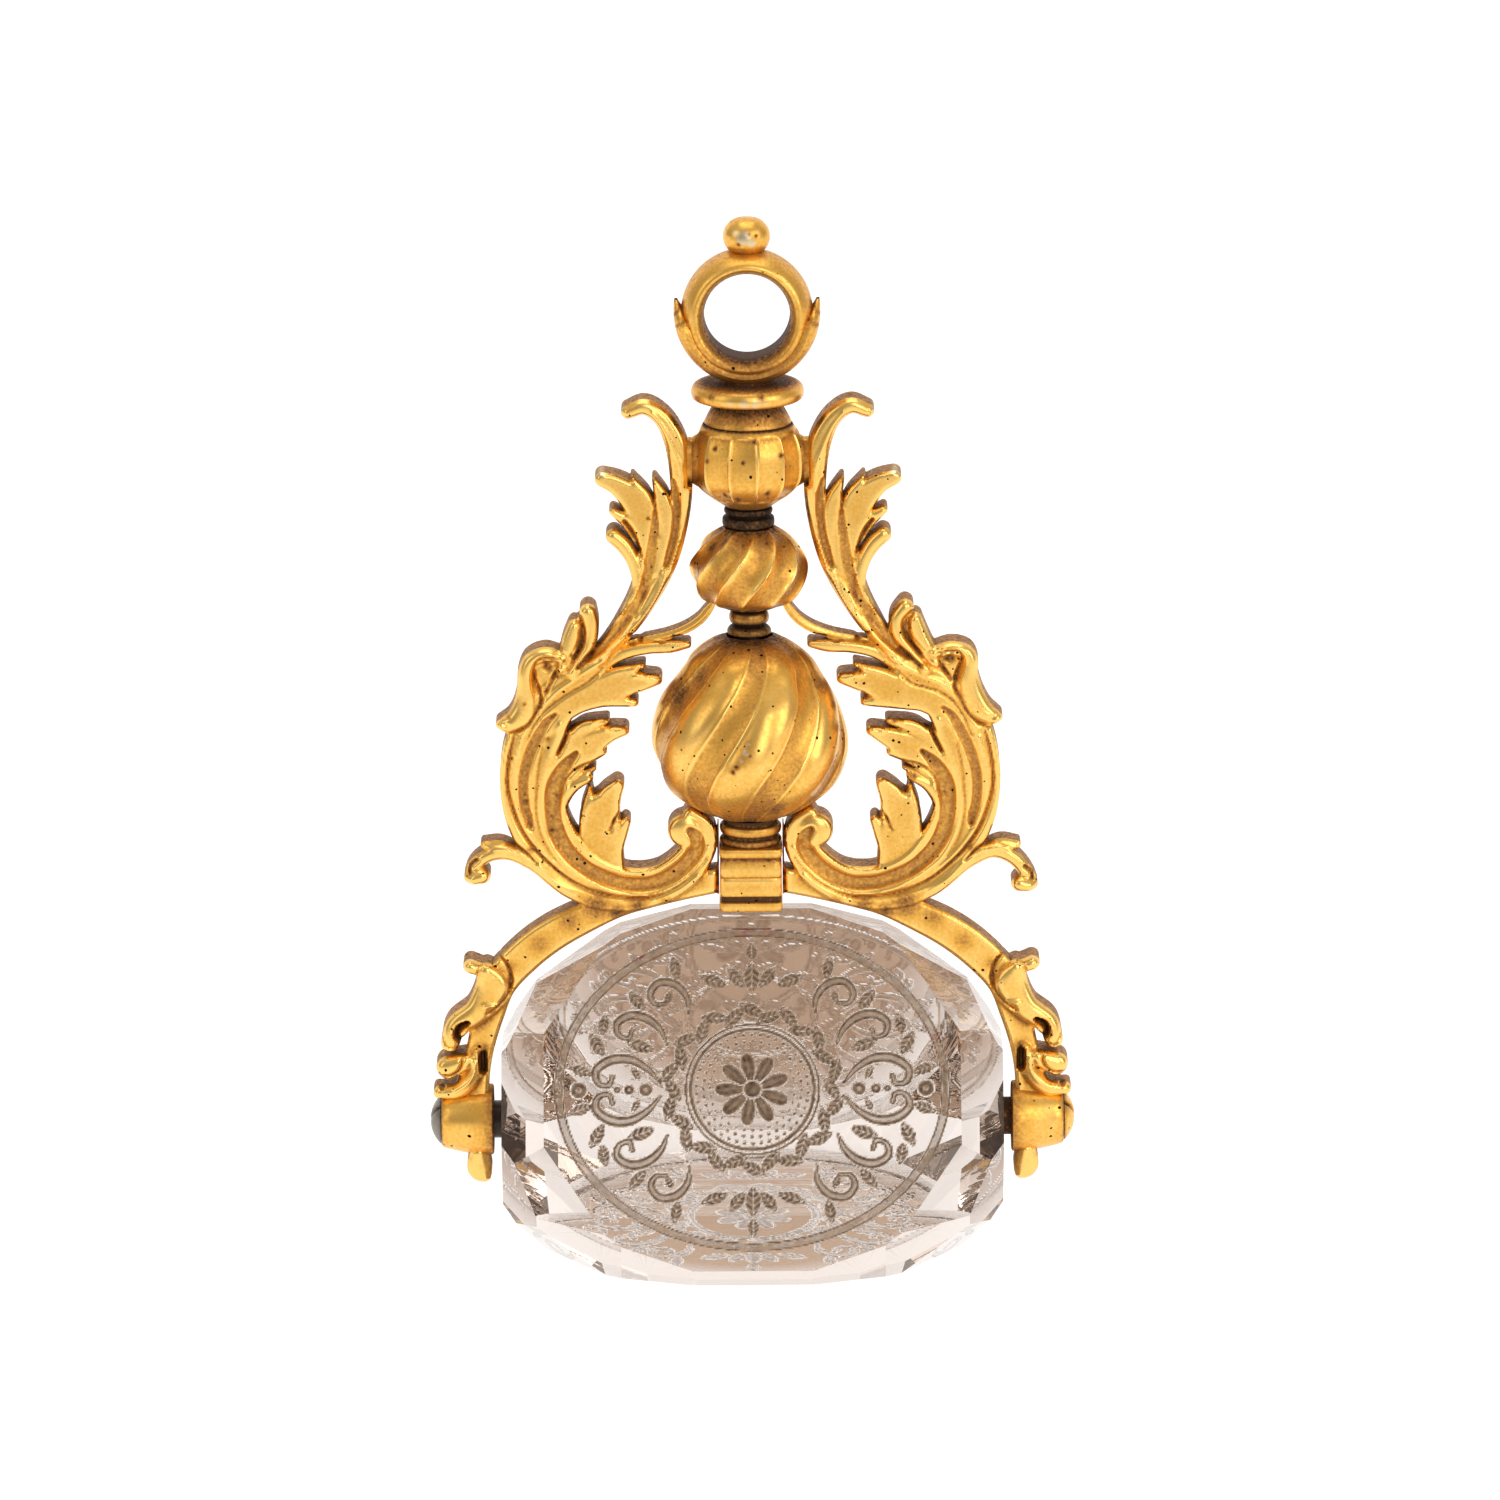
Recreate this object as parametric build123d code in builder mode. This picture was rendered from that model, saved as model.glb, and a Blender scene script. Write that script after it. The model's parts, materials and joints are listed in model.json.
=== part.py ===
"""Swivel fob seal: a three-sided crystal turning in a pierced, gilt scrollwork handle."""
import os
from math import cos, hypot, radians, sin, tan

from build123d import *

# Crystal, with its axis along X
STONE_HALF_LENGTH = 15.1
STONE_INRADIUS = 7.15
STONE_RIDGE_RADIUS = 13.25
STONE_SIDES = 3
BORDER_HALF_LENGTH = 11.85
BORDER_HALF_HEIGHT = 9.95
BORDER_WIDTH = 0.5
BORDER_DEPTH = 0.15

# Pivot screws
PIN_RADIUS = 1.14
PIN_DEPTH = 1.45
SCREW_HEAD_RADIUS = 1.5
SCREW_HEAD_HEIGHT = 0.62
SCREW_SLOT_WIDTH = 0.34
SCREW_SLOT_DEPTH = 0.28
SCREW_SLOT_ANGLE = 40

# Scrollwork arms
ARM_DEPTH = 3.0
ARM_GROUND_DEPTH = 2.4
TENDRIL_DEPTH = 1.3
BOSS_LENGTH = 3.15
BOSS_OUTER_RADIUS = 1.65
BOSS_INNER_RADIUS = 2.15
TENON_HEIGHT = 1.7
TENON_WIDTH = 1.4
TENON_LENGTH = 0.9

# Stem, from the stone upwards
BLOCK_SIDE = 3.66
BLOCK_HEIGHT = 3.85
BLOCK_GROOVE_DEPTH = 0.14
COLLAR_RADIUS = 1.85
COLLAR_HEIGHT = 1.6
PEAR_RADIUS = 5.95
PEAR_HEIGHT = 11.2
LOWER_COLLAR_RADIUS = 1.25
LOWER_COLLAR_HEIGHT = 1.6
TWISTED_RADIUS = 3.55
TWISTED_HEIGHT = 4.95
UPPER_COLLAR_RADIUS = 1.56
UPPER_COLLAR_HEIGHT = 1.2
FLUTED_RADIUS = 3.3
FLUTED_HEIGHT = 5.05
PAD_HEIGHT = 2.8
PAD_DEPTH = 1.7
ROD_RADIUS = 0.7

# Bow at the top
NECK_RADIUS = 1.95
NECK_FOOT_RADIUS = 2.6
NECK_HEIGHT = 1.3
FLANGE_RADIUS = 3.36
FLANGE_HEIGHT = 1.25
BOW_SEAT_RADIUS = 1.8
BOW_HOLE_RADIUS = 2.56
BOW_THROAT_LENGTH = 2.0
BOW_MOUTH_RADIUS = 3.04
BOW_OUTER_RADIUS = 3.93
BOW_DEPTH = 3.8
CALYX_FOOT_THICKNESS = 0.13
CALYX_TIP_THICKNESS = 0.5
CALYX_TIP_RISE = 0.8
CALYX_DEPTH = 3.4
BALL_RADIUS = 1.4
BALL_HALF_HEIGHT = 1.15

# Clearances
SEAT_GAP = 0.05
PIN_CLEARANCE = 0.06
APEX_CLEARANCE = 0.13
SWEEP_CLEARANCE = 0.15
ARM_JOINT_GAP = 0.2
BOSS_CLEARANCE = 0.55

# Grooves round the block: share of its height, share of the height that the groove takes
BLOCK_GROOVES = ((0.13, 0.07), (0.86, 0.05))

# Levels inside a piece, as shares of its own height
ROD_START_LEVEL = 0.55
ROD_END_LEVEL = 0.40
TENON_LEVEL = 0.43
PAD_LEVEL = 0.55
BALL_SEAT_LEVEL = 0.65

# Where the bow's side and the screw's head bulge between their ends, as shares
BOW_BULGE = (0.78, 0.36)
SCREW_HEAD_BULGE = (0.70, 0.72)

# Facets round one table: each passes through a point on the table's outline, at a share of the
# half length and of the table's half height, and leans by two angles: the roll about the stone's
# axis from the ridge, and the tilt toward the end.
FACETS = (
    # roll, tilt, along, across
    (0, 0, 0.000, 1.000),
    (0, 17, 0.238, 1.000),
    (0, 33, 0.530, 0.857),
    (0, 62, 0.828, 0.618),
    (31, 36, 0.828, 0.313),
    (60, 45, 0.828, 0.000),
)

# Half outlines of the turned pieces: share of the height, share of the radius
COLLAR_ROWS = (
    (0.00, 0.92), (0.12, 0.98), (0.26, 0.92), (0.38, 0.86), (0.56, 0.96), (0.72, 0.98),
    (0.84, 0.86), (1.00, 0.88),
)
LOWER_COLLAR_ROWS = (
    (0.00, 1.00), (0.12, 1.02), (0.30, 0.84), (0.44, 0.76), (0.58, 0.92), (0.74, 0.98),
    (0.90, 0.90), (1.00, 0.80),
)
UPPER_COLLAR_ROWS = (
    (0.00, 0.92), (0.20, 0.98), (0.42, 0.92), (0.54, 0.86), (0.70, 0.98), (0.86, 1.00),
    (1.00, 0.94),
)

FLANGE_ROWS = (
    (0.00, 0.80), (0.14, 0.92), (0.32, 0.98), (0.50, 1.00), (0.68, 0.98), (0.86, 0.91),
    (1.00, 0.78),
)
BALL_ROWS = (
    (0.00, 0.42), (0.14, 0.71), (0.32, 0.93), (0.50, 1.00), (0.68, 0.93), (0.86, 0.70),
    (0.96, 0.38), (1.00, 0.10),
)

# Lobed pieces: share of the height, share of the radius, share of the whole twist
PEAR_ROWS = (
    (0.00, 0.31, 0.00),
    (0.06, 0.60, 0.05),
    (0.17, 0.85, 0.16),
    (0.41, 1.00, 0.44),
    (0.66, 0.88, 0.70),
    (0.87, 0.62, 0.90),
    (1.00, 0.28, 1.00),
)
TWISTED_ROWS = (
    (0.00, 0.45, 0.00),
    (0.14, 0.82, 0.15),
    (0.50, 1.00, 0.50),
    (0.82, 0.78, 0.83),
    (1.00, 0.46, 1.00),
)
FLUTED_ROWS = (
    (0.00, 0.43, 0.00),
    (0.14, 0.72, 0.00),
    (0.30, 0.94, 0.00),
    (0.55, 1.00, 0.00),
    (0.80, 0.96, 0.00),
    (1.00, 0.80, 0.00),
)
PEAR_START = 10
PEAR_TWIST = 70
TWISTED_TWIST = 62
FLUTED_START = 15

# Gadroons: repeats round the piece, share of the radius at the lines between the lobes, and for
# each lobe of a repeat its share of the repeat and the share of the radius at its middle
PEAR_GADROONS = (7, 0.955, ((0.6, 1.00), (0.4, 0.93)))
TWISTED_GADROONS = (10, 1.00, ((1.0, 0.92),))
FLUTED_GADROONS = (12, 1.00, ((1.0, 0.95),))

# Reach and rise at which an arm meets the stem
TENON_RISE = 0.334
PAD_RISE = 0.907
PAD_REACH = 0.191

# Scrollwork of one arm: each stroke is a spine of (reach, rise, half width), where reach and
# half width are shares of the arm's reach and rise is a share of its height above the pivot.
GROUND_STROKES = {
    "hook": (
        (0.485, 0.639, 0.022), (0.399, 0.679, 0.026), (0.326, 0.721, 0.026),
        (0.265, 0.770, 0.026), (0.233, 0.825, 0.029), (0.227, 0.879, 0.035),
        (0.246, 0.934, 0.035), (0.290, 0.969, 0.029), (0.348, 0.984, 0.026),
        (0.399, 0.977, 0.022),
    ),
    "leaf_stem": (
        (0.568, 0.601, 0.045), (0.479, 0.645, 0.029), (0.402, 0.691, 0.029),
        (0.348, 0.736, 0.035), (0.319, 0.791, 0.038),
    ),
    "top_leaf": (
        (0.313, 0.770, 0.032), (0.329, 0.818, 0.045), (0.377, 0.858, 0.045),
        (0.431, 0.878, 0.032), (0.479, 0.886, 0.024),
    ),
    "top_leaf_middle": (
        (0.313, 0.765, 0.035), (0.326, 0.825, 0.038), (0.348, 0.859, 0.029),
        (0.383, 0.889, 0.006),
    ),
    "top_leaf_inner": (
        (0.287, 0.760, 0.026), (0.281, 0.825, 0.029), (0.287, 0.858, 0.026),
        (0.313, 0.886, 0.008),
    ),
    "top_leaf_outer": ((0.326, 0.791, 0.029), (0.383, 0.824, 0.026), (0.444, 0.843, 0.013)),
    "side_curl": (
        (0.377, 0.705, 0.019), (0.361, 0.743, 0.019), (0.377, 0.775, 0.022),
        (0.409, 0.796, 0.026), (0.440, 0.809, 0.026),
    ),
    "inner_bud": (
        (0.559, 0.617, 0.026), (0.514, 0.658, 0.026), (0.507, 0.686, 0.027),
        (0.520, 0.706, 0.026),
    ),
    "outer_bud": ((0.584, 0.636, 0.032), (0.565, 0.661, 0.029), (0.555, 0.679, 0.026)),
    "hood": (
        (0.600, 0.634, 0.029), (0.654, 0.642, 0.026), (0.699, 0.629, 0.029),
        (0.715, 0.605, 0.029), (0.718, 0.579, 0.035), (0.740, 0.557, 0.035),
        (0.779, 0.554, 0.026),
    ),
    "cheek": ((0.638, 0.588, 0.045), (0.648, 0.625, 0.045)),
    "tendril_leaf": (
        (0.495, 0.625, 0.019), (0.409, 0.647, 0.019), (0.326, 0.656, 0.019),
        (0.255, 0.657, 0.019), (0.201, 0.660, 0.011),
    ),
    "high_fan": (
        (0.654, 0.554, 0.038), (0.559, 0.584, 0.041), (0.463, 0.602, 0.038),
        (0.367, 0.610, 0.029), (0.297, 0.614, 0.019),
    ),
    "high_fan_upper": ((0.511, 0.601, 0.022), (0.431, 0.619, 0.019), (0.345, 0.631, 0.008)),
    "high_fan_lower": ((0.574, 0.575, 0.026), (0.479, 0.587, 0.022), (0.373, 0.584, 0.013)),
    "low_fan": (
        (0.629, 0.480, 0.038), (0.574, 0.511, 0.038), (0.511, 0.531, 0.032),
        (0.447, 0.540, 0.026), (0.399, 0.543, 0.018),
    ),
    "low_fan_upper": ((0.606, 0.524, 0.026), (0.530, 0.547, 0.022), (0.456, 0.557, 0.010)),
    "low_fan_lower": ((0.606, 0.482, 0.032), (0.533, 0.503, 0.026), (0.466, 0.514, 0.011)),
    "last_fan": (
        (0.606, 0.420, 0.022), (0.597, 0.445, 0.022), (0.565, 0.466, 0.021),
        (0.511, 0.478, 0.013),
    ),
    "last_fan_upper": ((0.606, 0.463, 0.026), (0.549, 0.478, 0.016), (0.495, 0.491, 0.006)),
    "cup_leaf": (
        (0.440, 0.341, 0.051), (0.472, 0.383, 0.057), (0.476, 0.420, 0.064),
        (0.447, 0.451, 0.038), (0.421, 0.467, 0.022),
    ),
    "cup_leaf_outer": ((0.491, 0.406, 0.045), (0.511, 0.434, 0.026), (0.507, 0.464, 0.008)),
    "cup_leaf_inner": (
        (0.434, 0.355, 0.038), (0.428, 0.380, 0.029), (0.409, 0.402, 0.022),
        (0.393, 0.417, 0.016),
    ),
    "scroll": (
        (0.527, 0.623, 0.051), (0.632, 0.572, 0.070), (0.689, 0.510, 0.083),
        (0.683, 0.455, 0.089), (0.632, 0.397, 0.083), (0.533, 0.354, 0.070),
        (0.399, 0.333, 0.054), (0.278, 0.340, 0.045), (0.191, 0.372, 0.038),
        (0.169, 0.395, 0.029),
    ),
    "scroll_rim": (
        (0.712, 0.579, 0.022), (0.763, 0.524, 0.022), (0.772, 0.469, 0.022),
        (0.747, 0.413, 0.022), (0.667, 0.358, 0.026), (0.552, 0.319, 0.026),
        (0.409, 0.305, 0.026), (0.271, 0.316, 0.026), (0.176, 0.344, 0.026),
        (0.128, 0.383, 0.026), (0.137, 0.411, 0.026), (0.185, 0.426, 0.026),
    ),
    "volute": ((0.179, 0.388, 0.029), (0.207, 0.405, 0.054)),
    "foot": (
        (0.511, 0.311, 0.022), (0.606, 0.334, 0.024), (0.686, 0.361, 0.026),
        (0.766, 0.376, 0.026), (0.830, 0.372, 0.022), (0.871, 0.358, 0.022),
        (0.884, 0.343, 0.022),
    ),
    "foot_ball": ((0.874, 0.341, 0.022), (0.849, 0.344, 0.027)),
    "foot_leaf": ((0.728, 0.372, 0.019), (0.791, 0.384, 0.019), (0.843, 0.386, 0.013)),
    "band": (
        (0.102, 0.334, 0.040), (0.191, 0.326, 0.038), (0.303, 0.315, 0.038),
        (0.415, 0.303, 0.041), (0.527, 0.283, 0.049), (0.626, 0.261, 0.054),
        (0.712, 0.233, 0.056), (0.795, 0.194, 0.054), (0.830, 0.152, 0.049),
        (0.855, 0.108, 0.043), (0.871, 0.073, 0.045), (0.894, 0.034, 0.061),
    ),
    "head_crest": ((0.820, 0.197, 0.026), (0.849, 0.212, 0.022), (0.887, 0.219, 0.024)),
    "head": (
        (0.836, 0.212, 0.029), (0.820, 0.187, 0.054), (0.865, 0.158, 0.041),
        (0.932, 0.136, 0.037), (0.954, 0.112, 0.029),
    ),
    "head_lobe": ((0.910, 0.087, 0.029), (0.961, 0.078, 0.038)),
    "lower_lobe": (
        (0.862, 0.101, 0.019), (0.881, 0.066, 0.026), (0.938, 0.045, 0.026),
        (0.980, 0.043, 0.020),
    ),
    "drop": ((0.865, -0.042, 0.029), (0.862, -0.065, 0.038), (0.846, -0.074, 0.019)),
}

# Raised ribs of the arm, with the same columns
RAISED_STROKES = {
    "hook_rib": (
        (0.300, 0.745, 0.012), (0.253, 0.800, 0.013), (0.233, 0.860, 0.013),
        (0.246, 0.925, 0.013), (0.290, 0.960, 0.013), (0.348, 0.978, 0.016),
        (0.397, 0.975, 0.015),
    ),
    "top_leaf_rib": (
        (0.500, 0.648, 0.016), (0.400, 0.700, 0.016), (0.345, 0.765, 0.022),
        (0.345, 0.830, 0.026), (0.400, 0.868, 0.022), (0.468, 0.883, 0.012),
    ),
    "hood_rib": (
        (0.600, 0.634, 0.014), (0.654, 0.644, 0.014), (0.705, 0.627, 0.015),
        (0.718, 0.590, 0.018), (0.738, 0.560, 0.022), (0.775, 0.554, 0.018),
    ),
    "high_fan_rib": (
        (0.670, 0.535, 0.020), (0.572, 0.575, 0.024), (0.463, 0.597, 0.022),
        (0.370, 0.606, 0.018), (0.306, 0.612, 0.012),
    ),
    "low_fan_rib": (
        (0.635, 0.465, 0.020), (0.580, 0.500, 0.022), (0.515, 0.522, 0.020),
        (0.450, 0.535, 0.016), (0.408, 0.540, 0.011),
    ),
    "cup_leaf_rib": (
        (0.452, 0.345, 0.028), (0.474, 0.390, 0.030), (0.470, 0.425, 0.026),
        (0.428, 0.460, 0.014),
    ),
    "rim_rib": (
        (0.745, 0.545, 0.011), (0.775, 0.490, 0.011), (0.764, 0.435, 0.011),
        (0.715, 0.385, 0.012), (0.620, 0.338, 0.013), (0.480, 0.308, 0.013),
        (0.330, 0.307, 0.013), (0.215, 0.328, 0.013), (0.145, 0.362, 0.013),
        (0.126, 0.395, 0.013),
    ),
    "scroll_rib": (
        (0.655, 0.560, 0.014), (0.722, 0.505, 0.015), (0.722, 0.440, 0.015),
        (0.660, 0.375, 0.015), (0.560, 0.338, 0.013),
    ),
    "inner_rib": (
        (0.540, 0.375, 0.013), (0.430, 0.350, 0.013), (0.330, 0.345, 0.013),
        (0.250, 0.360, 0.014), (0.205, 0.385, 0.018),
    ),
    "foot_rib": (
        (0.640, 0.345, 0.013), (0.730, 0.368, 0.014), (0.820, 0.370, 0.014),
        (0.868, 0.355, 0.013),
    ),
    "head_rib": (
        (0.822, 0.205, 0.018), (0.822, 0.185, 0.030), (0.868, 0.158, 0.022),
        (0.928, 0.136, 0.020), (0.950, 0.115, 0.016),
    ),
}

TENDRIL_STROKES = {
    "tendril": (
        (0.431, 0.654, 0.013), (0.341, 0.665, 0.011), (0.262, 0.672, 0.013),
        (0.201, 0.682, 0.014), (0.160, 0.694, 0.014), (0.134, 0.708, 0.013),
        (0.118, 0.717, 0.008),
    ),
}

# The two castings differ a little: moves of the right arm's strokes, in the same shares
RIGHT_MOVES = {
    "hook": (-0.012, 0.000),
    "hook_rib": (-0.012, 0.000),
    "inner_bud": (-0.040, 0.008),
    "outer_bud": (-0.040, 0.008),
    "hood": (-0.010, 0.020),
    "cheek": (-0.010, 0.020),
    "hood_rib": (-0.010, 0.020),
    "high_fan": (0.000, -0.008),
    "high_fan_rib": (0.000, -0.008),
    "low_fan": (-0.016, -0.004),
    "foot_ball": (0.004, -0.014),
}

# Heights of the seats, from the surface that the lowest table rests on
pivot_height = STONE_INRADIUS
table_angle = radians(180 / STONE_SIDES)
table_half_height = (STONE_RIDGE_RADIUS - STONE_INRADIUS * cos(table_angle)) / sin(table_angle)
stone_swept_radius = hypot(STONE_INRADIUS, table_half_height)
block_bottom = pivot_height + stone_swept_radius + APEX_CLEARANCE
block_top = block_bottom + BLOCK_HEIGHT
collar_top = block_top + COLLAR_HEIGHT
pear_bottom = collar_top + SEAT_GAP
pear_top = pear_bottom + PEAR_HEIGHT
lower_collar_bottom = pear_top + SEAT_GAP
twisted_bottom = lower_collar_bottom + LOWER_COLLAR_HEIGHT + SEAT_GAP
upper_collar_bottom = twisted_bottom + TWISTED_HEIGHT + SEAT_GAP
fluted_bottom = upper_collar_bottom + UPPER_COLLAR_HEIGHT + SEAT_GAP
fluted_top = fluted_bottom + FLUTED_HEIGHT
neck_bottom = fluted_top + SEAT_GAP
flange_bottom = neck_bottom + NECK_HEIGHT
flange_middle = flange_bottom + FLANGE_HEIGHT / 2
flange_top = flange_bottom + FLANGE_HEIGHT
bow_centre = flange_top + BOW_OUTER_RADIUS + CALYX_FOOT_THICKNESS
ball_bottom = bow_centre + BOW_OUTER_RADIUS - (1 - BALL_SEAT_LEVEL) * BALL_HALF_HEIGHT

upright_plane = Plane(origin=(0, 0, pivot_height), x_dir=(1, 0, 0), z_dir=(0, -1, 0))
pin_hole_radius = PIN_RADIUS + PIN_CLEARANCE
rod_hole_radius = ROD_RADIUS + SEAT_GAP
rod_bottom = block_bottom + ROD_START_LEVEL * BLOCK_HEIGHT
rod_top = flange_bottom + ROD_END_LEVEL * FLANGE_HEIGHT
throat_bulge = BOW_BULGE[0] * BOW_HOLE_RADIUS + (1 - BOW_BULGE[0]) * BOW_MOUTH_RADIUS

# Where the arms meet the stone and the stem
boss_inner_end = STONE_HALF_LENGTH + BOSS_CLEARANCE
arm_reach = boss_inner_end + BOSS_LENGTH
arm_inner_end = BLOCK_SIDE / 2 + ARM_JOINT_GAP
pad_reach = PAD_REACH * arm_reach
tenon_middle = block_bottom + TENON_LEVEL * BLOCK_HEIGHT
pad_middle = fluted_bottom + PAD_LEVEL * FLUTED_HEIGHT


def arm_height(rise):
    """Turn a share of an arm's rise into a height above the pivot: tenon and pad set its scale."""
    tenon_height = tenon_middle - pivot_height
    if rise <= TENON_RISE:
        return rise / TENON_RISE * tenon_height
    above = (rise - TENON_RISE) / (PAD_RISE - TENON_RISE)
    return tenon_height + above * (pad_middle - tenon_middle)


def stroke_face(stroke, side, move):
    """Make one stroke's face: two splines, a round tip and a straight root."""
    spine = [
        Vector(side * (reach + move[0]) * arm_reach, arm_height(rise + move[1]))
        for reach, rise, half in stroke
    ]
    halves = [half * arm_reach for reach, rise, half in stroke]
    with BuildLine() as outline:
        if len(spine) > 2:
            middle = Spline(*spine, mode=Mode.PRIVATE)
        else:
            middle = Line(*spine, mode=Mode.PRIVATE)
        tangents = [middle.tangent_at(middle.param_at_point(point)) for point in spine]
        normals = [tangent.rotate(Axis.Z, 90) for tangent in tangents]
        left_points = [p + n * h for p, n, h in zip(spine, normals, halves)]
        right_points = [p - n * h for p, n, h in zip(spine, normals, halves)]
        tip = spine[-1] + tangents[-1] * halves[-1]
        if len(spine) > 2:
            Spline(*left_points)
            Spline(*right_points)
        else:
            Line(*left_points)
            Line(*right_points)
        ThreePointArc(left_points[-1], tip, right_points[-1])
        Line(left_points[0], right_points[0])
    return make_face(outline.edges(), mode=Mode.PRIVATE)


def turned_outline(rows, radius, height, base):
    """Make half of a turned piece's section, from its axis outwards."""
    points = [(share * radius, base + level * height) for level, share in rows]
    with BuildLine() as outline:
        Spline(*points)
        Polyline(points[-1], (0, base + height), (0, base), points[0])
    return make_face(outline.edges(), mode=Mode.PRIVATE)


def lobed_section(radius, gadroons, turn):
    """Make one section of a gadrooned piece, a ring of bulging lobes or hollow flutes."""
    repeats, line, lobes = gadroons
    angle = turn
    with BuildLine() as outline:
        for share, middle in lobes * repeats:
            width = share * 360 / repeats
            start = Vector(line * radius, 0).rotate(Axis.Z, angle)
            crest = Vector(middle * radius, 0).rotate(Axis.Z, angle + width / 2)
            end = Vector(line * radius, 0).rotate(Axis.Z, angle + width)
            ThreePointArc(start, crest, end)
            angle += width
    return make_face(outline.edges(), mode=Mode.PRIVATE)


def table_frame(roll_of_ridge, hand):
    """Give a table's outward normal and the direction across it toward the ridge."""
    normal_angle = radians(roll_of_ridge + hand * 180 / STONE_SIDES)
    ridge_angle = radians(roll_of_ridge)
    normal = Vector(0, sin(normal_angle), cos(normal_angle))
    ridge = Vector(0, sin(ridge_angle), cos(ridge_angle))
    across = (ridge - normal * normal.dot(ridge)).normalized()
    return normal, across


def swept_outline():
    """Make half of the section that the turning stone sweeps, with its clearance."""
    ridge_lines = [
        (tan(radians(tilt)) / sin(table_angle), along * STONE_HALF_LENGTH, across * table_half_height)
        for roll, tilt, along, across in FACETS
        if roll == 0
    ]
    corners = [(0, table_half_height)]
    for (slope, x, half), (next_slope, next_x, next_half) in zip(ridge_lines, ridge_lines[1:]):
        meet = (half + slope * x - next_half - next_slope * next_x) / (slope - next_slope)
        corners.append((meet, half - slope * (meet - x)))
    slope, x, half = ridge_lines[-1]
    corners.append((STONE_HALF_LENGTH, half - slope * (STONE_HALF_LENGTH - x)))
    points = [(x, hypot(STONE_INRADIUS, half) + SWEEP_CLEARANCE) for x, half in corners]
    end = STONE_HALF_LENGTH + SWEEP_CLEARANCE
    with BuildLine() as outline:
        Polyline((0, 0), *points, (end, points[-1][1]), (end, 0), close=True)
    return make_face(outline.edges(), mode=Mode.PRIVATE)


# Three-sided crystal: a bar cut by its tables, ridges and end facets
with BuildPart() as seal_stone:
    with Locations((0, 0, pivot_height)):
        Box(2 * STONE_HALF_LENGTH, 4 * STONE_RIDGE_RADIUS, 4 * STONE_RIDGE_RADIUS)
    for ridge_number in range(STONE_SIDES):
        ridge_roll = ridge_number * 360 / STONE_SIDES
        table_normal, table_across = table_frame(ridge_roll, 1)
        table_point = Vector(0, 0, pivot_height) + table_normal * STONE_INRADIUS
        split(bisect_by=Plane(origin=table_point, z_dir=table_normal), keep=Keep.BOTTOM)
        for roll, tilt, along, across in FACETS:
            for hand in ((1, -1) if 0 < radians(roll) < table_angle else (1,)):
                table_normal, table_across = table_frame(ridge_roll, hand)
                facet_roll = radians(ridge_roll + hand * roll)
                for end in ((1, -1) if tilt else (1,)):
                    facet_normal = Vector(
                        end * sin(radians(tilt)),
                        cos(radians(tilt)) * sin(facet_roll),
                        cos(radians(tilt)) * cos(facet_roll),
                    )
                    facet_point = (
                        Vector(end * along * STONE_HALF_LENGTH, 0, pivot_height)
                        + table_normal * STONE_INRADIUS
                        + table_across * across * table_half_height
                    )
                    facet_plane = Plane(origin=facet_point, z_dir=facet_normal)
                    split(bisect_by=facet_plane, keep=Keep.BOTTOM)
    for ridge_number in range(STONE_SIDES):
        table_normal, table_across = table_frame(ridge_number * 360 / STONE_SIDES, 1)
        table_point = Vector(0, 0, pivot_height) + table_normal * STONE_INRADIUS
        with BuildSketch(Plane(origin=table_point, x_dir=(1, 0, 0), z_dir=table_normal)):
            Ellipse(BORDER_HALF_LENGTH, BORDER_HALF_HEIGHT)
            Ellipse(
                BORDER_HALF_LENGTH - BORDER_WIDTH,
                BORDER_HALF_HEIGHT - BORDER_WIDTH,
                mode=Mode.SUBTRACT,
            )
        extrude(amount=-BORDER_DEPTH, mode=Mode.SUBTRACT)
    for end in (-1, 1):
        with BuildSketch(Plane(origin=(end * STONE_HALF_LENGTH, 0, pivot_height), z_dir=(end, 0, 0))):
            Circle(pin_hole_radius)
        extrude(amount=-(PIN_DEPTH + PIN_CLEARANCE), mode=Mode.SUBTRACT)

# Square base block with its turned collar, a socket for each arm and the rod's seat
with BuildPart() as base_block:
    with BuildSketch(Plane.XY.offset(block_bottom)):
        Rectangle(BLOCK_SIDE, BLOCK_SIDE)
    extrude(amount=BLOCK_HEIGHT)
    for level, height in BLOCK_GROOVES:
        with BuildSketch(Plane.XY.offset(block_bottom + level * BLOCK_HEIGHT)):
            Rectangle(BLOCK_SIDE, BLOCK_SIDE)
            Rectangle(
                BLOCK_SIDE - 2 * BLOCK_GROOVE_DEPTH,
                BLOCK_SIDE - 2 * BLOCK_GROOVE_DEPTH,
                mode=Mode.SUBTRACT,
            )
        extrude(amount=height * BLOCK_HEIGHT, mode=Mode.SUBTRACT)
    with BuildSketch(Plane.XZ):
        add(turned_outline(COLLAR_ROWS, COLLAR_RADIUS, COLLAR_HEIGHT, block_top))
    revolve(axis=Axis.Z)
    with BuildSketch(Plane.XY.offset(rod_bottom - SEAT_GAP)):
        Circle(rod_hole_radius)
    extrude(until=Until.LAST, mode=Mode.SUBTRACT)
    for side in (-1, 1):
        socket_plane = Plane(origin=(side * BLOCK_SIDE / 2, 0, tenon_middle), z_dir=(side, 0, 0))
        with BuildSketch(socket_plane):
            Rectangle(TENON_HEIGHT + 2 * SEAT_GAP, TENON_WIDTH + 2 * SEAT_GAP)
        extrude(amount=-(TENON_LENGTH - ARM_JOINT_GAP + SEAT_GAP), mode=Mode.SUBTRACT)

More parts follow.
